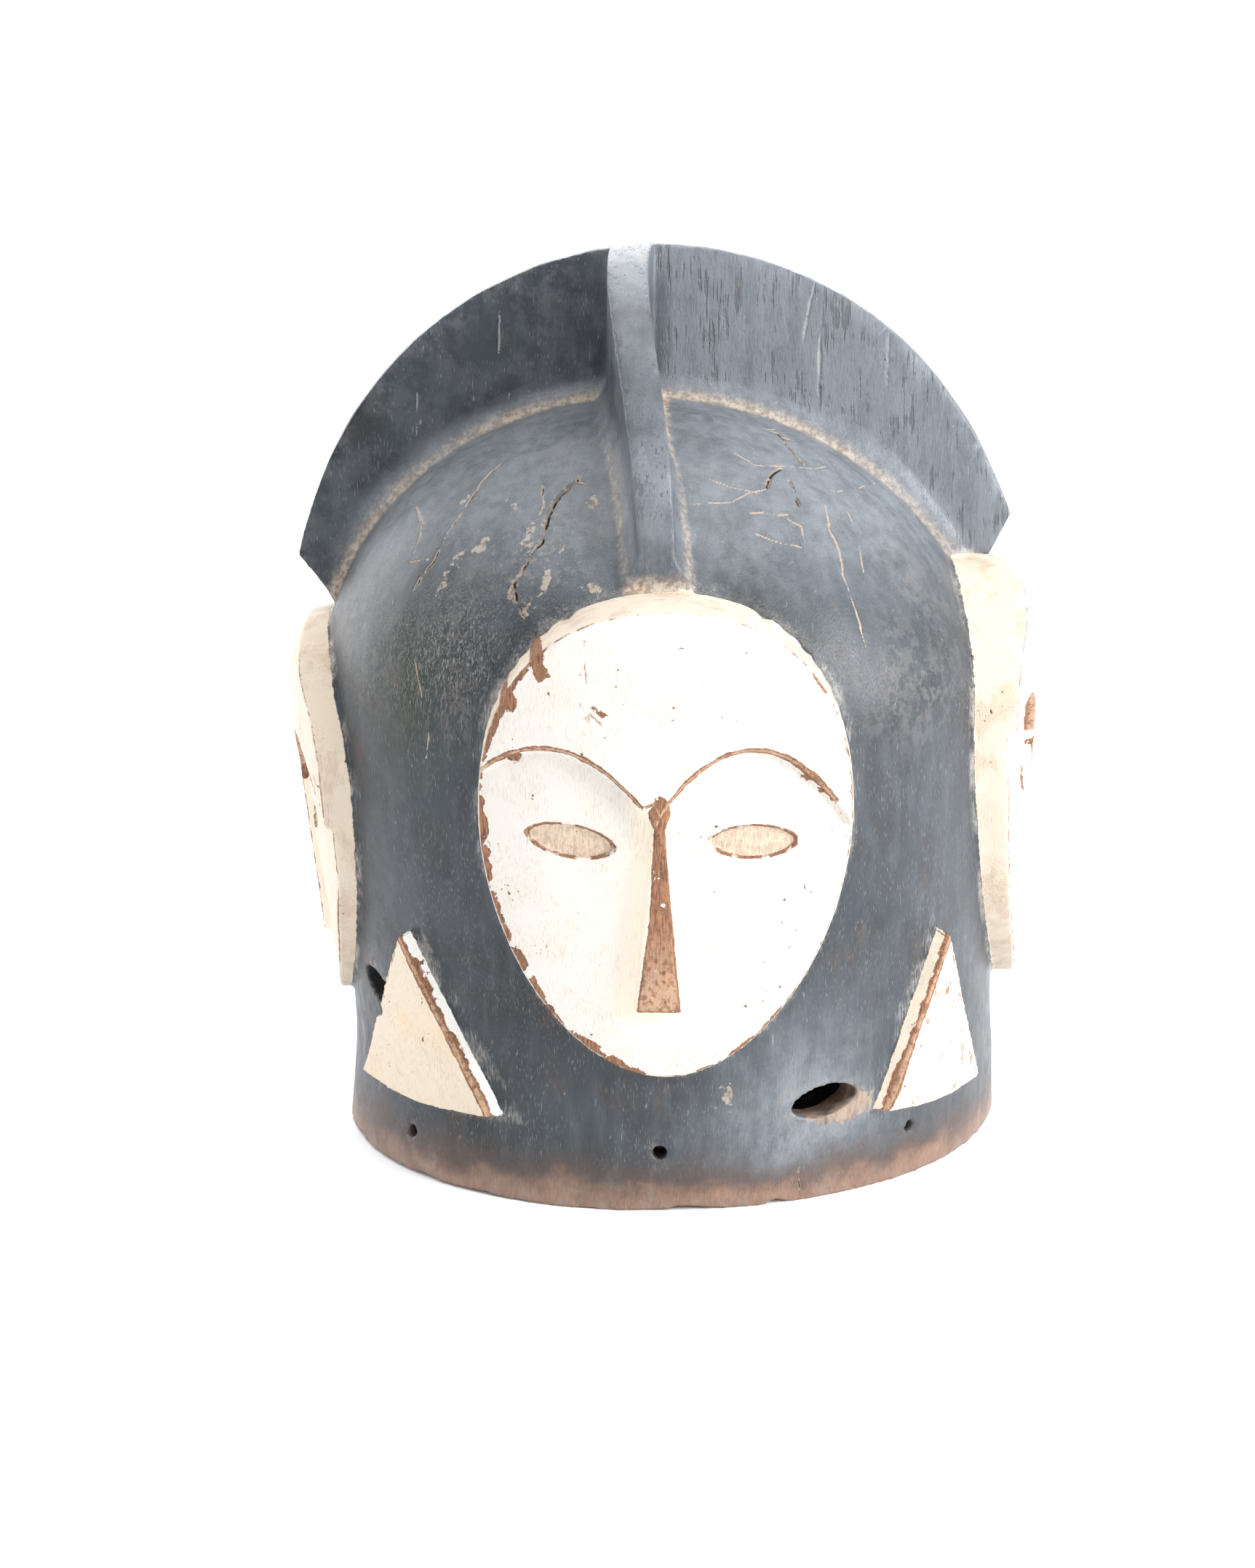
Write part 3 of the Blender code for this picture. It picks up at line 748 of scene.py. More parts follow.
places = places_of(mask.data)
normals = normals_of(mask.data)
azimuth, height, proud = block_measures(places)
chalk, owner, found = chalk_measures(places, proud)
inner = soft_step(-proud, 0.0055, 0.0075)
plates = soft_step(proud, 0.004, 0.009) * (chalk < 0)
painted = soft_step(chalk, -0.002, 0.001)
skin = (1 - inner) * (1 - plates) * (1 - painted)
cuts = np.zeros(len(places))
for deepest, where, size, seed in (
    (0.00028, skin, (0.017, 0.017, 0.034), 11),
    (0.00030, plates, (0.011, 0.030, 0.045), 23),
    (0.00070, inner, (0.013, 0.013, 0.024), 37),
    (0.00006, painted, (0.012, 0.012, 0.018), 41),
):
    cuts += deepest * where * scoops(places, size, seed)
swell = 0.00045 * lumps(places, (0.045, 0.045, 0.060), 53) * (1 - 0.6 * painted)
swell += 0.00012 * lumps(places, (0.009, 0.009, 0.014), 59)
places += normals * (swell - cuts)[:, None]
worn_rim = np.maximum(0.0, lumps(places, (0.012, 0.012, 9.0), 61)) ** 2
worn_rim *= RIM_NOTCH * soft_step(proud, -0.009, -0.001) * soft_step(-height, -0.005, 0.0)
lifted = RIM_LIFT * near_spot(azimuth, math.radians(-50), math.radians(24))
places[:, 2] += worn_rim + lifted * soft_step(-height, -0.020, 0.0)
move_to(mask.data, places)

thin = mask.modifiers.new("thinned", "DECIMATE")
thin.ratio = min(1.0, TRIANGLE_LIMIT / (2 * len(mask.data.polygons)))
finished_mesh(mask)

# The damage of age: drying cracks and gashes on the dome, torn grain on the crest, a hairline
# and a knife slip on the forehead. Each is a groove, given here by the points it runs through.
MARKS = {"round": [
    # width and depth in millimetres, then the azimuth in degrees and the height of each point
    (1.15, 2.2, [(-17.9, 272), (-20.8, 265), (-22.3, 258), (-21.9, 251), (-23.2, 246)]),
    (1.1, 1.8, [(-23.2, 246), (-24.2, 241), (-25, 236), (-24.4, 231), (-22.3, 224)]),
    (0.9, 0.8, [(-27.3, 270), (-24.4, 263), (-24.1, 259)]),
    (0.9, 0.6, [(-44.1, 275), (-44.8, 268), (-44.3, 263), (-44, 256), (-44.8, 251)]),
    (1.0, 0.8, [(-44.8, 251), (-44.8, 246), (-44.8, 241), (-45.8, 236), (-46.5, 230)]),
    (0.8, 0.5, [(-62.6, 257), (-54.1, 252), (-52, 247), (-51.3, 239), (-45.7, 241)]),
    (1.2, 1.1, [(58.6, 285), (50.3, 280), (47.4, 274)]),
    (1.1, 1.9, [(38.7, 273), (33.3, 271), (29.1, 267)]),
    (1.1, 2.2, [(38.2, 271), (37.5, 268), (34.7, 261)]),
    (0.55, 0.4, [(25.6, 281), (30.8, 275), (38.3, 274), (50, 272), (62, 272)]),
    (0.5, 0.35, [(16, 271), (21, 268), (26.7, 266)]),
    (0.55, 0.4, [(9.5, 263), (18.5, 263), (24.2, 266), (29.4, 267)]),
    (0.6, 0.4, [(36.8, 270), (49.2, 264), (60, 264), (76, 263)]),
    (0.5, 0.35, [(21.2, 260), (31.8, 258)]),
    (0.6, 0.5, [(29.9, 258), (32.5, 254), (31.5, 249), (30.4, 247)]),
    (0.5, 0.35, [(20.6, 254), (24.9, 250), (30.4, 247)]),
    (0.6, 0.3, [(43.5, 263), (39, 252), (38.6, 245), (36.5, 237), (36, 221), (36, 211)]),
    (0.5, 0.25, [(49.3, 263), (46.6, 254), (44.1, 246), (41.4, 237)]),
    (0.4, 0.35, [(-10.9, 228), (-9.8, 221), (-9.9, 212), (-9.7, 205)]),
    (0.6, 0.4, [(-11.6, 200.5), (-10.0, 196), (-7.2, 190)]),
    (0.6, 0.8, [(20.6, 14), (21, 8), (21.3, 1)]),
    (0.5, 0.3, [(-42.3, 206), (-40.1, 195), (-38.3, 179), (-39.2, 169)]),
    (0.5, 0.5, [(-154, 262), (-149, 240), (-152, 226)]),
    (0.7, 0.7, [(141, 268), (147, 251), (143, 238)]),
    (0.6, 0.5, [(-118, 120), (-120, 84), (-117, 20)]),
    (0.6, 0.5, [(172, 218), (174, 206), (173, 196)]),
    (0.7, 0.9, [(118, 26), (119, 12), (118, 1)]),
], "front": [
    # on the crest: the distance to the right instead of the azimuth
    (1.2, 0.5, [(59, 342), (57, 320), (56.5, 296)]),
    (1.0, 0.4, [(63, 338), (61, 322)]),
    (0.9, 0.35, [(54, 341), (50, 318)]),
    (0.9, 0.4, [(84, 322), (83.5, 300)]),
    (1.2, 0.4, [(110, 297), (110.5, 284)]),
    (0.8, 0.4, [(-70, 330), (-71, 312)]),
    (0.8, 0.4, [(-103, 298), (-104, 280)]),
], "back": [
    (1.4, 0.7, [(-48, 340), (-47, 318), (-49, 300)]),
    (1.0, 0.5, [(64, 330), (66, 305)]),
    (0.9, 0.4, [(20, 345), (21, 326)]),
]}
SAMPLE_STEP = 0.0004
WANDER = 0.0009
PALE_MARK = 0.38          # how dark a mark on the crest is, where 1 is an open crack
REFINEMENT = (             # how near to a mark, and the longest edge that stays whole there
    (0.0034, 0.0015), (0.0022, 0.0009), (0.0015, 0.0006),
)


def mark_track(way, points, wander, seed, tree):
    """The mark's middle line on the wood's skin, in small steps, wandering a little."""
    corners = []
    for first, high in points:
        level = high / 1000
        if way == "round":
            outward = Vector(compass(math.radians(first))[1])
            start = Vector((float(lean_at(level)), 0, level)) + outward * 0.25
        else:
            outward = Vector((0, -1 if way == "front" else 1, 0))
            start = Vector((first / 1000, outward.y * 0.25, level))
        hit = tree.ray_cast(start, -outward)[0]
        if hit:
            corners.append(np.array(hit))
    track = []
    for start, end in zip(corners, corners[1:]):
        count = max(2, int(np.linalg.norm(end - start) / SAMPLE_STEP))
        shares = np.linspace(0, 1, count, endpoint=False)[:, None]
        track.append(start + (end - start) * shares)
    track = np.vstack(track + [corners[-1][None, :]])
    for axis in range(3):
        track[:, axis] += wander * lumps(track, 0.006, seed + axis)
        track[:, axis] += 0.5 * wander * lumps(track, 0.002, seed + 10 + axis)
    return track


def near_track(places, track, reach):
    """Distance of each point to the track, and how far along the track it is; far away is 1."""
    away = np.ones(len(places))
    along = np.zeros(len(places))
    low, high = track.min(0) - reach, track.max(0) + reach
    chosen = np.nonzero(np.all((places > low) & (places < high), axis=1))[0]
    for chunk in np.array_split(chosen, max(1, len(chosen) // 4000)):
        if len(chunk):
            gaps = np.linalg.norm(places[chunk][:, None, :] - track[None, :, :], axis=2)
            away[chunk] = gaps.min(1)
            along[chunk] = gaps.argmin(1) / max(1, len(track) - 1)
    return away, along


tree = BVHTree.FromObject(mask, bpy.context.evaluated_depsgraph_get())
marks = [(way, *mark) for way, group in MARKS.items() for mark in group]
tracks = [
    mark_track(way, points, WANDER * min(1.0, depth), 200 + 31 * number, tree)
    for number, (way, _, depth, points) in enumerate(marks)
]
bm = bmesh.new()
bm.from_mesh(mask.data)
for reach, longest in REFINEMENT:
    bm.edges.ensure_lookup_table()
    ends = np.array([[edge.verts[0].co, edge.verts[1].co] for edge in bm.edges])
    middles = ends.mean(1)
    lengths = np.linalg.norm(ends[:, 0] - ends[:, 1], axis=1)
    away = np.ones(len(middles))
    for track in tracks:
        away = np.minimum(away, near_track(middles, track, reach)[0])
    chosen = np.nonzero((away < reach) & (lengths > longest))[0]
    bmesh.ops.subdivide_edges(bm, edges=[bm.edges[i] for i in chosen], cuts=1)
    bmesh.ops.triangulate(bm, faces=[face for face in bm.faces if len(face.verts) > 3])
bm.to_mesh(mask.data)
bm.free()

places = places_of(mask.data)
normals = normals_of(mask.data)
crack = np.zeros(len(places))
sunk = np.zeros(len(places))
for (way, width, depth, _), track in zip(marks, tracks):
    away, along = near_track(places, track, 0.004)
    ends = soft_step(np.minimum(along, 1 - along), 0.0, 0.12)
    half = width / 2000 * (0.55 + 0.45 * ends) * (1 + 0.4 * lumps(places, 0.004, 97))
    profile = np.clip(1 - (away / (1.5 * half)) ** 2, 0.0, 1.0)
    sunk = np.maximum(sunk, depth / 1000 * (0.3 + 0.7 * ends) * profile)
    strength = 0.4 + 0.6 * min(1.0, depth) if way == "round" else PALE_MARK
    crack = np.maximum(crack, np.clip(1.5 - away / half, 0.0, 1.0) * strength)
places -= normals * sunk[:, None]
move_to(mask.data, places)

# The surface: chalky white paint on the faces and triangles, and a blue-black patina on the
# rest, rubbed down to brown wood where hands and years wore it. Where each coat lies is kept
# on the skin as distances in millimetres and as strengths from 0 to 1.
FACE_CREAM = {"front": 0.0, "right": 0.25, "back": 0.5, "left": 0.6}
WHITER_TRIANGLE = 47
WORN_EDGES = {
    # widest bare band along a face's edge, in millimetres, by turn from its right hand side
    "front": [(2.55, 0.35, 3.4), (3.35, 0.40, 4.2), (3.95, 0.30, 3.6), (4.45, 0.16, 4.0),
              (5.05, 0.30, 1.8), (0.75, 0.25, 1.4), (0.25, 0.30, 1.2)],
    "right": [(2.6, 0.3, 1.2), (3.6, 0.3, 1.4), (4.6, 0.4, 2.4), (0.4, 0.4, 2.2)],
    "back": [(0.6, 0.4, 3.4), (2.2, 0.3, 2.6), (3.9, 0.4, 3.2), (5.3, 0.3, 2.4)],
    "left": [(0.1, 0.2, 1.6), (2.9, 0.4, 2.2), (5.5, 0.3, 2.6), (2.0, 0.3, 2.0)],
}
BARE_SPOTS = {
    # across, height, half width and half height of each spot of bare wood, in millimetres
    "front": [(-46.5, 215, 3.0, 3.8), (-44.5, 207.5, 3.2, 3.4), (-56.5, 198, 3.6, 5.4),
              (-55, 178, 3.4, 2.6), (-21, 197, 1.2, 2.0), (41, 204, 1.6, 1.8),
              (-31, 209, 0.9, 0.9), (-19, 62, 5.0, 2.2), (-11.5, 58.5, 4.0, 1.6),
              (-43, 80, 2.6, 3.4), (9.5, 137, 0.7, 2.4), (11, 129, 0.7, 1.0),
              (52, 170, 4.4, 1.6), (57, 165, 3.0, 1.4), (-21, 222, 3.2, 1.8), (-27.0, 198.5, 1.8, 1.1),
              (-25.0, 196.5, 1.7, 1.0), (-23.2, 194.5, 1.5, 0.9), (-21.4, 192.6, 1.2, 0.7),
              (-57, 168, 2.2, 1.5), (28, 66, 3.2, 1.2), (-18.5, 153, 1.6, 0.7)],
    "right": [(-30, 200, 3.0, 4.0), (22, 90, 2.0, 4.0), (-48, 150, 2.6, 5.0),
              (40, 215, 3.0, 2.0), (14, 70, 4.0, 2.0), (55, 170, 2.0, 4.0)],
    "back": [(30, 200, 4.0, 3.0), (-40, 120, 2.4, 4.4), (12, 72, 5.0, 2.4),
             (-52, 190, 3.0, 4.0), (20, 160, 1.6, 2.4)],
    "left": [(48, 165, 2.4, 2.6), (40, 132, 1.8, 4.6), (-35, 190, 3.6, 2.6),
             (-12, 66, 4.0, 2.0), (30, 196, 3.0, 1.6), (-50, 120, 2.0, 4.0)],
}


def turn_apart(turn, other):
    return np.abs(np.mod(turn - other + math.pi, math.tau) - math.pi)


def near_place(degrees, high, wide, tall):
    """Signed distance inside a spot on the block's skin, in metres."""
    aside = (np.degrees(azimuth) - degrees) * math.radians(1) * BARREL_RADIUS * 1000
    size = np.hypot(aside / wide, (height * 1000 - high) / tall)
    return (1 - size) * min(wide, tall) / 1000


def region(turn, turn_spread, level, level_spread):
    """A soft patch of the block's skin, strongest at an azimuth and a height."""
    return near_spot(azimuth, turn, turn_spread) * near_spot(height, level, level_spread)


azimuth, height, proud = block_measures(places)
chalk, owner, found = chalk_measures(places, proud)
inside, nose, eye, bare, flake = (np.full(len(places), -FAR) for _ in range(5))
line = np.full(len(places), FAR)
worn_width, cream, bevel, scuffed, wall = (np.zeros(len(places)) for _ in range(5))
for number, name in enumerate(DIRECTIONS):
    mine = owner == number
    across, edge_inside = (values[mine] for values in found[number])
    bottom = FACE_BOTTOM[name]
    tall = FACE_TOP[name] - bottom
    level = height[mine]
    beside = across - NOSE_SHIFT
    side = np.where(beside < 0, -1, 1)
    peak = np.where(side < 0, BROW_PEAKS[-1], BROW_PEAKS[1])
    steep = 2 * np.where(side < 0, BROW_CURVES[-1], BROW_CURVES[1]) * (np.abs(beside) - peak)
    inside[mine] = edge_inside
    line[mine] = (level - brow_level(beside, bottom, tall)) / np.sqrt(1 + steep ** 2)
    from_tip = level - bottom - NOSE_TIP_SHARE * tall
    from_root = bottom + NOSE_ROOT_SHARE * tall + 0.004 - level
    half = nose_half_width(level, bottom, tall) - np.abs(beside)
    held = 0.0011 * soft_step(-beside, -0.001, 0.002) * near_spot(level, 0.118, 0.020)
    nose[mine] = np.minimum(half - held, np.minimum(from_tip, from_root))
    line[mine] = np.where(from_root > 0, np.minimum(line[mine], half * 9), line[mine])
    meeting = 1 - np.hypot(beside / 0.0042, (from_root - 0.0010) / 0.0072)
    for middle, tilt in EYE_PLACES.values():
        right = across - middle
        up = level - bottom - EYE_SHARE * tall
        long_way = (right * math.cos(tilt) + up * math.sin(tilt)) / (EYE_LENGTH / 2)
        short_way = (up * math.cos(tilt) - right * math.sin(tilt)) / (EYE_HEIGHT / 2)
        size = np.sqrt(long_way ** 2 + np.abs(short_way) ** (2 / ALMOND_POWER))
        eye[mine] = np.maximum(eye[mine], (1 - size) * EYE_HEIGHT / 2)
    turn = np.arctan2(level - bottom - WIDEST_SHARE * tall, across)
    width = 0.75 + 0.5 * lumps(places[mine], 0.02, 71)
    for middle, spread, widest in WORN_EDGES[name]:
        width = np.maximum(width, widest * np.exp(-(turn_apart(turn, middle) / spread) ** 2))
    worn_width[mine] = width / 1000
    for spot_across, spot_level, half_wide, half_high in BARE_SPOTS[name]:
        size = np.hypot(
            (across * 1000 - spot_across) / half_wide, (level * 1000 - spot_level) / half_high
        )
        bare[mine] = np.maximum(bare[mine], (1 - size) * min(half_wide, half_high) / 1000)
    bare[mine] = np.maximum(bare[mine], 0.0050 * meeting)
    cream[mine] = FACE_CREAM[name]
    facing = normals[mine] @ np.array(compass(math.radians(DIRECTIONS[name]))[1])
    wall[mine] = soft_step(-facing, -0.72, -0.45) * soft_step(-edge_inside, -0.0040, -0.0015)
for number, degrees in enumerate(TRIANGLE_WIDTHS):
    mine = owner == number + len(DIRECTIONS)
    to_line, edge_inside = (values[mine] for values in found[number + len(DIRECTIONS)])
    inside[mine] = edge_inside
    line[mine] = to_line
    worn_width[mine] = 0.0006
    on_bevel = soft_step(-to_line, -0.001, 0.001)
    if degrees == WHITER_TRIANGLE:
        scuffed[mine] = 1 - on_bevel
        cream[mine] = 0.30 + 0.55 * on_bevel
    else:
        # This band gets a painted highlight in the white paint below
        bevel[mine] = on_bevel
        scuffed[mine] = 0.15 * (1 - on_bevel)
        cream[mine] = 0.95 * (1 - on_bevel)
FLAKES = [
    # azimuth in degrees, then height, half width and half height in millimetres
    (-34.3, 248, 4.2, 3.4), (-37.9, 243, 3.6, 2.8), (-19.2, 237, 3.2, 4.6), (-17.9, 249, 3.0, 4.0),
    (-39.8, 234, 2.4, 7.0), (-21.5, 228, 3.4, 3.0), (-13.0, 264, 4.0, 2.6), (-33.1, 262, 7.0, 1.8),
    (-25.5, 252, 2.4, 7.0), (-46.0, 262, 3.0, 2.4), (-42.0, 254, 2.0, 3.4), (-11.0, 236, 4.0, 3.0),
    (-29.0, 240, 2.0, 3.6), (22.0, 252, 1.6, 0.8), (-150.0, 248, 5.0, 3.4), (152.0, 238, 3.6, 5.0),
    (8.0, 46.0, 3.6, 5.0), (6.2, 42.0, 2.6, 2.0), (-27.0, 87.0, 0.9, 0.8), (-7.6, 18.0, 3.0, 0.8),
    (-18.9, 43.0, 0.7, 3.4), (-32.6, 65.0, 0.7, 3.6), (-28.2, 67.0, 2.0, 1.4),
    (-22.4, 259, 1.5, 5.0), (-24.6, 244, 1.8, 6.0), (-25.6, 232, 2.2, 5.0), (-20.4, 266, 1.2, 3.0),
]
for item in FLAKES:
    flake = np.maximum(flake, near_place(*item))
flake = np.where(chalk < 0, flake, -FAR)
slot_degrees, slot_height = next(iter(SLOT_PLACES.items()))
raw_cut = near_place(slot_degrees + 2.6, 1000 * slot_height - 2.6, 17.0, 7.6)
raw_cut = np.where((chalk < 0) & (proud > -0.010), raw_cut, -FAR)

# Dust and old grime sit in the corners along the roots of the crest, the ridge and the faces.
RIDGE_HALF_ROOT, CREST_HALF_ROOT, DUST_REACH = 0.0105, 0.0125, 0.0042
middle_of_ridge = places[:, 0] - lean_at(height) - RIDGE_SHIFT
share = np.clip(-places[:, 1] / (RIDGE_LENGTH / 2), -1, 1)
middle_of_ridge = middle_of_ridge + RIDGE_WAVER * np.sin(1.5 * np.pi * share)
on_top = soft_step(height, 0.200, 0.215)
beside_ridge = np.abs(middle_of_ridge) - RIDGE_HALF_ROOT
beside_crest = np.abs(places[:, 1]) - CREST_HALF_ROOT
out = np.maximum(proud, 0.0)
ridge_root = np.hypot(np.maximum(beside_ridge, 0.0), out) + 0.03 * (1 - on_top)
ridge_root += 0.3 * np.maximum(0.0, np.abs(places[:, 1]) - 0.128)
crest_root = np.hypot(np.maximum(beside_crest, 0.0), out) + 0.03 * (1 - on_top)
face_root = np.full(len(places), FAR)
for number in range(len(DIRECTIONS)):
    edge_inside = found[number][1]
    gap = np.hypot(np.maximum(-edge_inside - 0.002, 0.0), np.maximum(out - 0.002, 0.0))
    face_root = np.minimum(face_root, gap + 0.0052 + 0.012 * soft_step(-height, -0.21, -0.12))
root = np.minimum(np.minimum(1.5 * ridge_root, crest_root + 0.0005), face_root)
dust = np.exp(-root / DUST_REACH)
flaked = region(-0.36, 0.20, 0.245, 0.022) + 0.5 * region(-0.75, 0.20, 0.250, 0.014)
flaked += 0.5 * region(-2.5, 0.30, 0.245, 0.022)
flaked *= soft_step(-out, -0.004, -0.001)
on_skin = soft_step(-out, -0.003, -0.001)
chatter = region(-0.60, 0.17, 0.209, 0.020) * on_skin
green = region(-0.76, 0.15, 0.195, 0.032) * on_skin
inner = soft_step(-proud, 0.0035, 0.0095)
ends = np.empty(2 * len(mask.data.edges), np.int32)
mask.data.edges.foreach_get("vertices", ends)
ends = ends.reshape(-1, 2)
beside = np.bincount(ends.ravel(), minlength=len(places))[:, None]


def averaged(values):
    """Each point's value averaged with those of its neighbours."""
    total = values.copy()
    for column in range(values.shape[1]):
        total[:, column] += np.bincount(ends[:, 0], values[ends[:, 1], column], len(values))
        total[:, column] += np.bincount(ends[:, 1], values[ends[:, 0], column], len(values))
    return total / (beside + 1)


smoothed = places
for _ in range(3):
    smoothed = averaged(smoothed)
bulge = np.sum((places - smoothed) * normals, axis=1)[:, None]
for _ in range(2):
    bulge = averaged(bulge)
rubbed = soft_step(bulge[:, 0], 0.00012, 0.00050) * (1 - inner)

# The patina is paler where it is dusty or rubbed, and painted paler still as painted sheen and painted
# light from the lamps: on the dome, on the crest's right half, the side that the right lamp lights,
# along the ridge with painted highlights on its top and its front facet, on the right side of the
# body, and in front low on the right.
on_plates = soft_step(proud, 0.004, 0.012) * soft_step(-chalk, 0.0, 0.003)
dust_and_sheen = 0.68 * soft_step(height, 0.212, 0.262) * (1 - on_plates)
dust_and_sheen += 0.95 * on_plates * soft_step(middle_of_ridge, 0.008, 0.016)
on_ridge = soft_step(proud, 0.004, 0.012) * near_spot(middle_of_ridge, 0.0, 0.010)
dust_and_sheen += on_ridge * (0.95 * soft_step(height, 0.325, 0.350) + 0.85 * near_spot(height, 0.274, 0.014))
dust_and_sheen += on_ridge * (0.22 + 0.55 * rubbed)
dust_and_sheen += 0.14 * soft_step(azimuth, 0.25, 0.8) * soft_step(-azimuth, -1.9, -1.4)
dust_and_sheen += 0.90 * region(0.38, 0.26, 0.032, 0.040)
dust_and_sheen += 0.16 * region(0.0, 0.40, 0.030, 0.030)
dust_and_sheen *= (1 - inner) * (1 - 0.9 * green)

distances = {
    "chalk": chalk, "inside": inside, "line": line, "nose": nose, "eye": eye, "bare": bare,
    "worn": worn_width, "flake": flake, "raw_cut": raw_cut,
}
strengths = {
    "cream": cream, "bevel": bevel, "scuffed": scuffed, "wall": wall, "dust": dust,
    "flaked": flaked, "chatter": chatter, "green": green, "rubbed": rubbed, "inner": inner,
    "plate": on_plates, "crack": crack, "dust_and_sheen": dust_and_sheen,
}
layers = {name: np.clip(1000 * values, -30.0, 30.0) for name, values in distances.items()}
layers.update({name: np.clip(values, 0.0, 1.0) for name, values in strengths.items()})
for name, values in layers.items():
    layer = mask.data.attributes.new(name, "FLOAT", "POINT")
    layer.data.foreach_set("value", values.astype(np.float32))

# The finish of the wood, coat over coat: bare brown wood, the patina with its grain and dust, the
# white paint where it still holds, and the open cracks, near black inside as painted shade.
paint = bpy.data.materials.new("painted_wood")
paint.use_nodes = True
shader = paint.node_tree.nodes["Principled BSDF"]


class Signal:
    """A node's output that plain sums and products can be written with."""

    def __init__(self, socket):
        self.socket = socket

    def __add__(self, other):
        return combined("ADD", self, other)

    def __mul__(self, other):
        return combined("MULTIPLY", self, other)

    def __sub__(self, other):
        return combined("SUBTRACT", self, other)

    def __rsub__(self, other):
        return combined("SUBTRACT", other, self)

    def __abs__(self):
        return combined("ABSOLUTE", self, 0.0)

    __radd__, __rmul__ = __add__, __mul__


def wired(kind, sockets, output=0, **settings):
    """A new node with its settings made and its sockets joined or set; gives one output."""
    node = paint.node_tree.nodes.new(kind)
    for name, value in settings.items():
        setattr(node, name, value)
    for name, value in sockets.items():
        if isinstance(value, Signal):
            paint.node_tree.links.new(value.socket, node.inputs[name])
        else:
            node.inputs[name].default_value = value
    return Signal(node.outputs[output])


def combined(kind, first, second):
    return wired("ShaderNodeMath", {0: first, 1: second}, operation=kind)


def most(first, *others):
    for other in others:
        first = combined("MAXIMUM", first, other)
    return first


def least(first, second):
    return combined("MINIMUM", first, second)


def rising(value, low, high):
    """0 below low, 1 above high and soft between them; falls instead where low is above."""
    sockets = {"Value": value, "From Min": low, "From Max": high}
    return wired("ShaderNodeMapRange", sockets, interpolation_type="SMOOTHSTEP", clamp=True)


def measure(name):
    return wired("ShaderNodeAttribute", {}, "Fac", attribute_name=name)


def coat(under, over, cover):
    """One tone over another, as dense as its cover; a tone is a signal or three numbers."""
    under, over = (tone if isinstance(tone, Signal) else (*tone, 1.0) for tone in (under, over))
    return wired("ShaderNodeMix", {0: cover, 6: under, 7: over}, 2, data_type="RGBA")


def coats(tone, *layers):
    """Coats laid in turn, each given as its tone and its cover."""
    for over, cover in layers:
        tone = coat(tone, over, cover)
    return tone


place = wired("ShaderNodeTexCoord", {}, "Object")
upright = wired("ShaderNodeSeparateXYZ", {"Vector": place}, "Z")
GRAIN, STREAK = (1, 1, 9), (1, 1, 5)
RELIEF_DEPTH = 0.00035


def speckle(size, detail, shift, stretch=(1, 1, 1), twist=0.0):
    """Random spots of about a size in millimetres, stretched along the grain or not."""
    moved = wired("ShaderNodeMapping", {
        "Vector": place, "Scale": [1 / factor for factor in stretch], "Location": (shift,) * 3,
    })
    return wired("ShaderNodeTexNoise", {
        "Vector": moved, "Scale": 1000 / size, "Detail": detail, "Roughness": 0.55,
        "Distortion": twist,
    }, "Fac")


spots_large = speckle(38, 4.0, 3.1)
spots_wide = speckle(16, 4.0, 7.7)
spots_middle = speckle(6, 4.0, 1.3)
spots_small = speckle(2.2, 4.0, 5.9)
spots_tiny = speckle(0.8, 3.0, 9.2)
streaks = speckle(5, 5.0, 2.2, STREAK)
fibres = speckle(0.55, 3.0, 4.4, GRAIN)
pores = speckle(0.30, 0.0, 8.1, GRAIN)
# The same spots as a swing to both sides of nothing, which makes an outline ragged
large, wide, middle = spots_large - 0.5, spots_wide - 0.5, spots_middle - 0.5
small, tiny, fibre = spots_small - 0.5, spots_tiny - 0.5, fibres - 0.5
chalk_depth, edge_gap, line_gap = measure("chalk"), measure("inside"), measure("line")
eye_gap, nose_gap = measure("eye"), measure("nose")
plate, wall, cream, flaked = measure("plate"), measure("wall"), measure("cream"), measure("flaked")
crack = measure("crack")

# Bare wood
wood = coats(
    coat((0.115, 0.048, 0.026), (0.300, 0.140, 0.070), rising(fibres, 0.34, 0.66)),
    ((0.430, 0.235, 0.125), 0.55 * rising(spots_middle, 0.52, 0.70)),
    ((0.050, 0.022, 0.016), 0.55 * rising(spots_small, 0.60, 0.72)),
)
raw = coat((0.085, 0.054, 0.036), (0.215, 0.140, 0.088), rising(fibres, 0.30, 0.70))
raw = coat(raw, (0.060, 0.043, 0.034), 0.7 * rising(spots_wide, 0.45, 0.65))
foot_wood = coat(wood, (0.290, 0.195, 0.150), 0.6)

# Patina
brownish = speckle(17, 5.0, 6.6, (1, 1, 1.8))
clouds = rising(spots_wide + 0.7 * middle, 0.34, 0.66)
streaky = rising(streaks + 0.9 * fibre, 0.32, 0.66) + 1.4 * tiny
dust_and_sheen = measure("dust_and_sheen")
open_pores = rising(pores, 0.65, 0.77) * rising(spots_wide, 0.32, 0.56)
torn = rising(speckle(1.6, 4.0, 10.5, (1, 1, 12), 0.3) + 0.9 * wide, 0.60, 0.72)
torn = torn * plate * rising(dust_and_sheen + 0.8 * large, 0.1, 0.9)
scuffs = rising(speckle(1.5, 2.0, 12.5, (1, 1.4, 7), 0.6), 0.72, 0.78)
chatter_marks = speckle(1.1, 3.0, 14.0, (0.6, 0.6, 4.5), 0.9)
chatter_marks = rising(chatter_marks, 0.52, 0.64) * measure("chatter")
foot = upright + 0.020 * wide + 0.008 * small
rub = measure("rubbed") * rising(spots_middle + 0.9 * small, 0.44, 0.62) * (1.0 - 0.80 * plate)
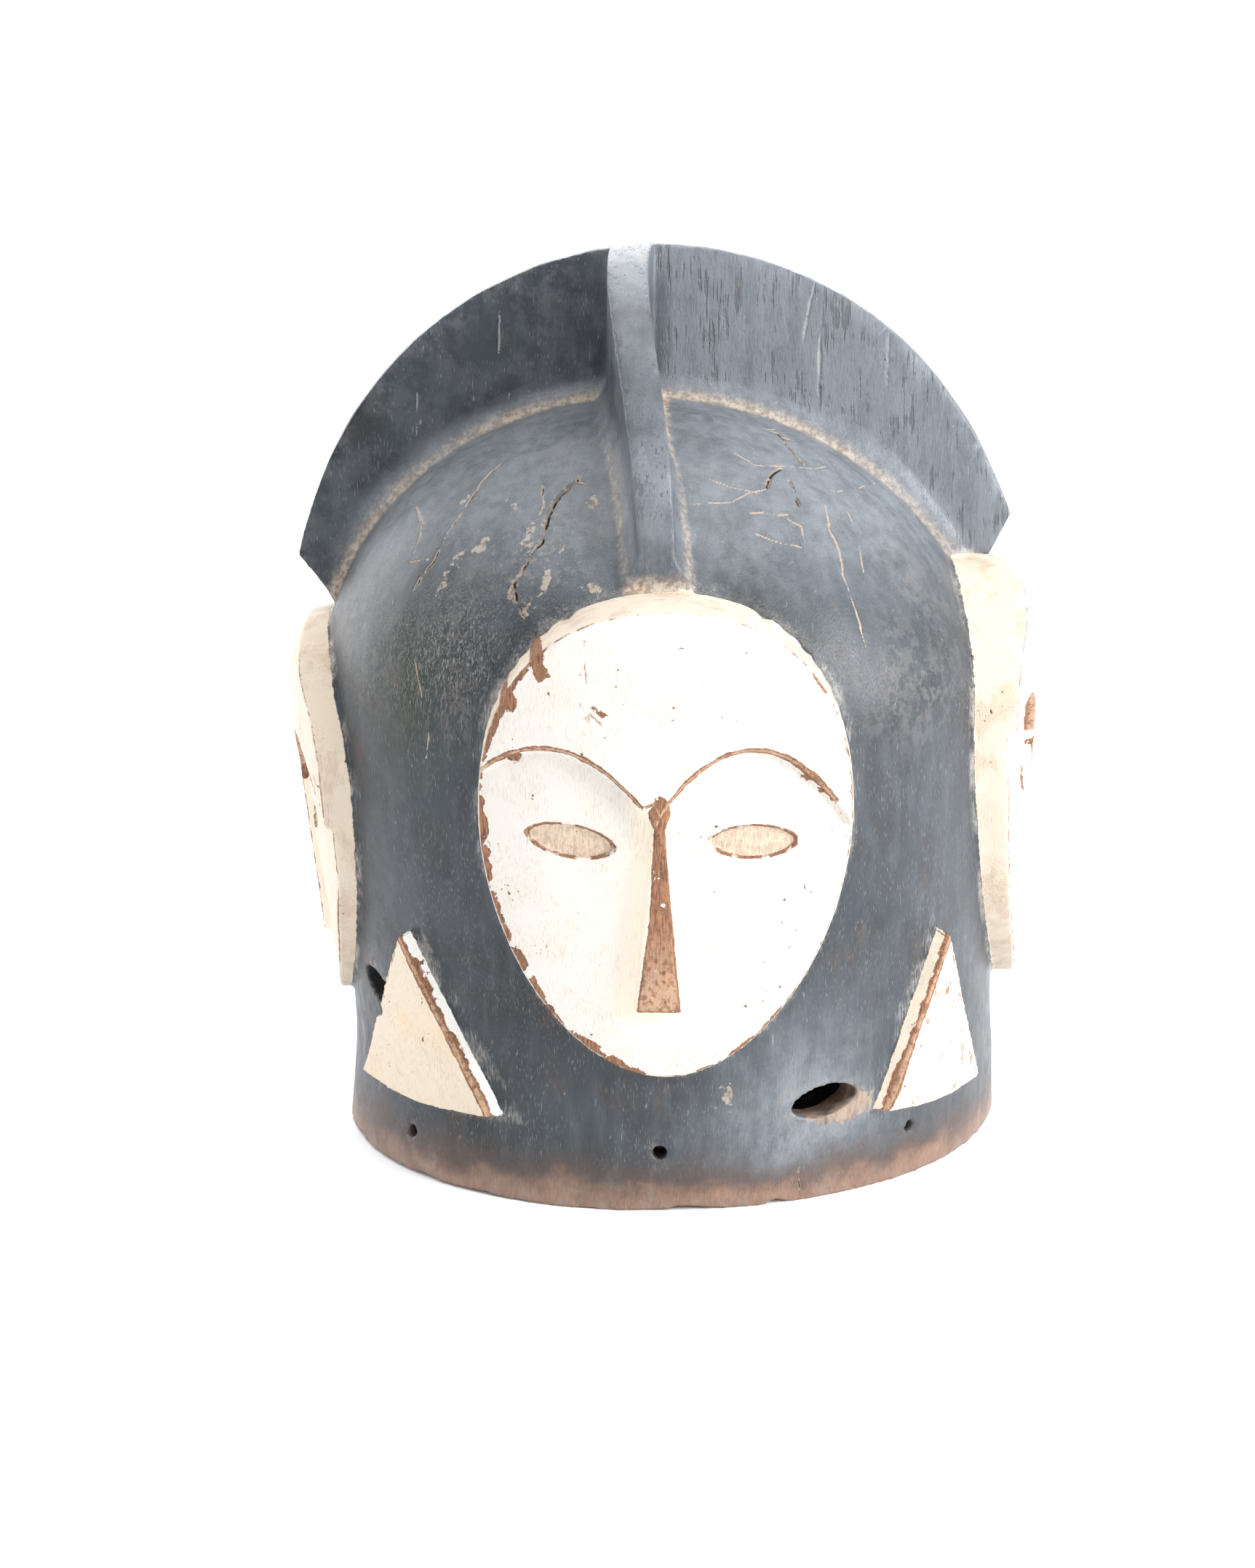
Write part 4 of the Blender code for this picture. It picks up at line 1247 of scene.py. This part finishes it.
crust = measure("dust") + 0.36 * (0.5 * middle + 0.6 * small + 0.5 * tiny)
flaky = rising(measure("flake") + 8.0 * small + 6.0 * middle, 0.5, 1.4)
flecks = rising(spots_small + 0.13 * flaked, 0.64, 0.72) * flaked
crust = most(rising(crust, 0.20, 0.86), 0.55 * most(flaky, 0.25 * flecks))
dust_tone = coat((0.330, 0.240, 0.170), (0.560, 0.450, 0.340), rising(spots_small, 0.40, 0.60))
halo = rising(chalk_depth + 4.0 * small, -2.8, 0.4)
halo = halo * rising(spots_wide + 0.6 * fibre, 0.44, 0.66)
cut_wood = rising(measure("raw_cut") + 7.0 * small, -0.3, 1.2)
cut_tone = coat((0.110, 0.068, 0.045), (0.380, 0.270, 0.190), rising(streaks, 0.38, 0.62))
patina = coats(
    coat((0.009, 0.012, 0.016), (0.022, 0.029, 0.037), rising(spots_large, 0.38, 0.60)),
    ((0.046, 0.057, 0.070), 0.5 * rising(streaks, 0.46, 0.72)),
    ((0.012, 0.014, 0.017), 0.5 * rising(spots_wide, 0.52, 0.68)),
    ((0.010, 0.020, 0.010), 0.9 * measure("green")),
    ((0.060, 0.034, 0.022), rising(brownish, 0.57, 0.70) * (0.42 - 0.28 * plate)),
    # Pale grey over the patina: dust and rubbing, with painted sheen and painted light on the dome,
    # the crest's right half, the ridge and the right of the body
    ((0.205, 0.225, 0.250), dust_and_sheen * (0.52 + 0.24 * streaky + 0.26 * clouds)),
    ((0.085, 0.096, 0.112), 0.42 * clouds * plate),
    ((0.110, 0.118, 0.122), 0.22 * rising(spots_tiny, 0.60, 0.74)),
    ((0.260, 0.265, 0.262), 0.45 * open_pores),
    ((0.075, 0.080, 0.088), 0.65 * torn),
    ((0.460, 0.450, 0.430), 0.35 * scuffs),
    ((0.300, 0.290, 0.265), 0.7 * chatter_marks),
    ((0.085, 0.053, 0.040), 0.85 * rising(foot, 0.027, 0.007)),
    (foot_wood, 0.9 * rising(foot, 0.014, 0.001)),
    ((0.240, 0.205, 0.180), 0.5 * rub),
    (dust_tone, 0.85 * crust),
    ((0.500, 0.470, 0.430), 0.48 * halo),
    (cut_tone, 0.75 * cut_wood),
)

# White paint
rubs = rising(speckle(3.6, 4.0, 16.0, (1, 1, 1.9), 0.7), 0.615, 0.650)
wall_stain = wall * rising(spots_wide + 0.9 * (streaks - 0.5), 0.48, 0.64)
eye_tone = coat((0.400, 0.290, 0.215), (0.570, 0.440, 0.320),
                rising(spots_small + 0.7 * fibre, 0.36, 0.64))
eye_tone = coat(eye_tone, (0.300, 0.190, 0.130), 0.6 * rising(spots_small, 0.58, 0.70))
white = coats(
    coat((0.600, 0.566, 0.520), (0.585, 0.532, 0.455), 0.6 * rising(spots_wide, 0.46, 0.68)),
    ((0.610, 0.490, 0.350), 0.66 * cream),
    # Painted highlight: the bevel band is painted whiter than the rest of the paint, for the light
    # that falls on it
    ((0.840, 0.820, 0.780), 0.9 * measure("bevel")),
    ((0.250, 0.125, 0.060), 0.90 * rubs * measure("scuffed")),
    ((0.640, 0.470, 0.300), 0.5 * rising(spots_large, 0.50, 0.66) * cream),
    ((0.520, 0.350, 0.210), 0.25 * rising(spots_middle, 0.60, 0.74)),
    ((0.330, 0.240, 0.190), 0.35 * rising(spots_tiny, 0.70, 0.78)),
    # Painted light: a paler, warmer cream beside the nose that lifts the shade falling on the cheeks
    # there
    ((0.760, 0.670, 0.540), 0.85 * rising(nose_gap, -15.0, -0.5)),
    ((0.560, 0.470, 0.365), 0.75 * wall),
    ((0.400, 0.270, 0.180), 0.34 * wall_stain),
    (eye_tone, 0.9 * rising(eye_gap + 0.9 * small, -0.10, 0.25)),
)

# Where the white paint has come off: edges, chips, brow lines, nose and the rims of the eyes
ragged = 2.2 * small + 0.9 * tiny
off_wall = 1.0 - wall
edge_bare = measure("worn") * rising(spots_middle, 0.30, 0.55) - edge_gap + 0.6 * ragged
edge_bare = rising(edge_bare, -0.05, 0.12) * rising(edge_gap + 0.25 * ragged, 0.15, 0.45)
spot_bare = rising(measure("bare") + 0.9 * ragged, 0.10, 0.30)
line_width = 0.45 * rising(spots_middle, 0.38, 0.60) + 0.40 * rising(spots_wide, 0.5, 0.66)
line_bare = rising(line_width + 0.85 - abs(line_gap + 0.35 * ragged), -0.10, 0.15)
nose_bare = rising(nose_gap + 0.45 * ragged, 0.0, 0.25)
nose_bare = nose_bare * rising(spots_small + 0.9 * middle, 0.79, 0.75)
eye_rim = rising(0.42 - abs(eye_gap + 0.25 * ragged), -0.12, 0.12)
eye_rim = eye_rim * rising(spots_middle, 0.38, 0.50)
stray = rising(spots_small + 0.5 * wide, 0.735, 0.755)
worn_off = most(edge_bare * off_wall, spot_bare, line_bare * off_wall, nose_bare, eye_rim, stray)
painted_here = rising(chalk_depth + 0.35 * (ragged + 3.0 * middle), -0.15, 0.15)
white_here = painted_here * (1.0 - worn_off)

# All coats together
nose_foot = rising(nose_gap, 0.3, 1.2) * rising(upright, 0.125, 0.085)
pale_wood = most(rising(0.75 - abs(line_gap), 0.0, 0.5), nose_foot)
wood = coats(
    wood,
    ((0.500, 0.330, 0.220), 0.72 * pale_wood * rising(spots_small, 0.34, 0.54)),
    ((0.100, 0.045, 0.026), 0.6 * rising(spots_middle, 0.56, 0.66) * painted_here),
)
crack_lip = coat((0.400, 0.300, 0.220), (0.270, 0.270, 0.265), plate)
surface = coats(
    patina,
    (wood, painted_here),
    (white, white_here),
    (raw, measure("inner")),
    (crack_lip, 0.8 * rising(crack, 0.06, 0.30)),
    # Painted shade: near black down the middle of the open cracks, for their depth
    ((0.022, 0.014, 0.010), rising(crack, 0.42, 0.75)),
)
paint.node_tree.links.new(surface.socket, shader.inputs["Base Color"])

shine = 0.40 + 0.35 * middle + 0.35 * crust + 0.30 * painted_here + 0.35 * measure("inner")
shine = least(most(shine, 0.28), 0.95)
paint.node_tree.links.new(shine.socket, shader.inputs["Roughness"])

relief = 0.30 * fibres + 0.16 * spots_tiny + 0.55 * white_here + 0.8 * crust * spots_small
relief = relief + 1.6 * flaked * spots_middle - 0.35 * open_pores - 0.8 * torn
relief = relief - 0.9 * chatter_marks - 0.6 * crack
bump = wired("ShaderNodeBump", {"Height": relief, "Distance": RELIEF_DEPTH}, "Normal")
paint.node_tree.links.new(bump.socket, shader.inputs["Normal"])
shader.inputs["IOR"].default_value = 1.42
mask.data.materials.clear()
mask.data.materials.append(paint)

points = places_of(mask.data)
points[:, 0] += BLOCK_SHIFT
points = np.clip(points, np.array(cad_low), np.array(cad_high))
move_to(mask.data, points)
mask.data.shade_smooth()
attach(mask, "root")
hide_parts("carved_mask")

# The floor: a plain white surface, so wide that it reaches out of every view.
FLOOR_REACH = 30.0
bm = bmesh.new()
bmesh.ops.create_grid(bm, x_segments=8, y_segments=8, size=FLOOR_REACH)
floor = made_object("floor", bm)
floor_paint = bpy.data.materials.new("floor")
floor_paint.use_nodes = True
floor_shader = floor_paint.node_tree.nodes["Principled BSDF"]
floor_shader.inputs["Base Color"].default_value = (0.92, 0.93, 0.95, 1)
floor_shader.inputs["Roughness"].default_value = 0.9
floor_shader.inputs["Specular IOR Level"].default_value = 0.1
floor.data.materials.append(floor_paint)

# The camera stands in front of the mask, a little above its top, and looks down at it.
LENS_LENGTH, SENSOR_WIDTH = 62.58, 36.0
CAMERA_PLACE = (BLOCK_SHIFT - 0.0196, -1.1, 0.383)
LOOK_DOWN = 12.65
lens = bpy.data.cameras.new("camera")
lens.lens = LENS_LENGTH
lens.sensor_width = SENSOR_WIDTH
camera = bpy.data.objects.new("camera", lens)
bpy.context.scene.collection.objects.link(camera)
camera.location = CAMERA_PLACE
camera.rotation_euler = (math.radians(90 - LOOK_DOWN), 0, 0)
bpy.context.scene.camera = camera

# The studio: a white room with four wide soft lamps. The strongest stands on the right, a little
# above the mask, so that the ridge keeps the left half of the crest in its shade. The others
# hang overhead, behind, and behind on the left.
LAMPS = {
    # size in metres, power in watts, place, and the height on the middle line that it aims at
    "side_lamp": (1.0, 74, (2.1, -1.1, 1.0), 0.20),
    "top_lamp": (1.6, 26, (0.1, -0.1, 2.2), 0.20),
    "back_lamp": (2.2, 60, (-0.2, 2.3, 1.5), 0.25),
    "left_lamp": (1.6, 26, (-2.3, 1.6, 0.8), 0.20),
}
world = bpy.data.worlds.new("studio")
world.use_nodes = True
sky = world.node_tree.nodes["Background"]
sky.inputs["Color"].default_value = (0.98, 0.99, 1.0, 1)
sky.inputs["Strength"].default_value = 1.12
bpy.context.scene.world = world
bpy.context.scene.view_settings.view_transform = "Standard"
for name, (size, power, place, aim_height) in LAMPS.items():
    light = bpy.data.lights.new(name, "AREA")
    light.shape = "SQUARE"
    light.size = size
    light.energy = power
    lamp = bpy.data.objects.new(name, light)
    bpy.context.scene.collection.objects.link(lamp)
    lamp.location = place
    way = Vector((0, 0, aim_height)) - Vector(place)
    lamp.rotation_euler = way.to_track_quat("-Z", "Y").to_euler()
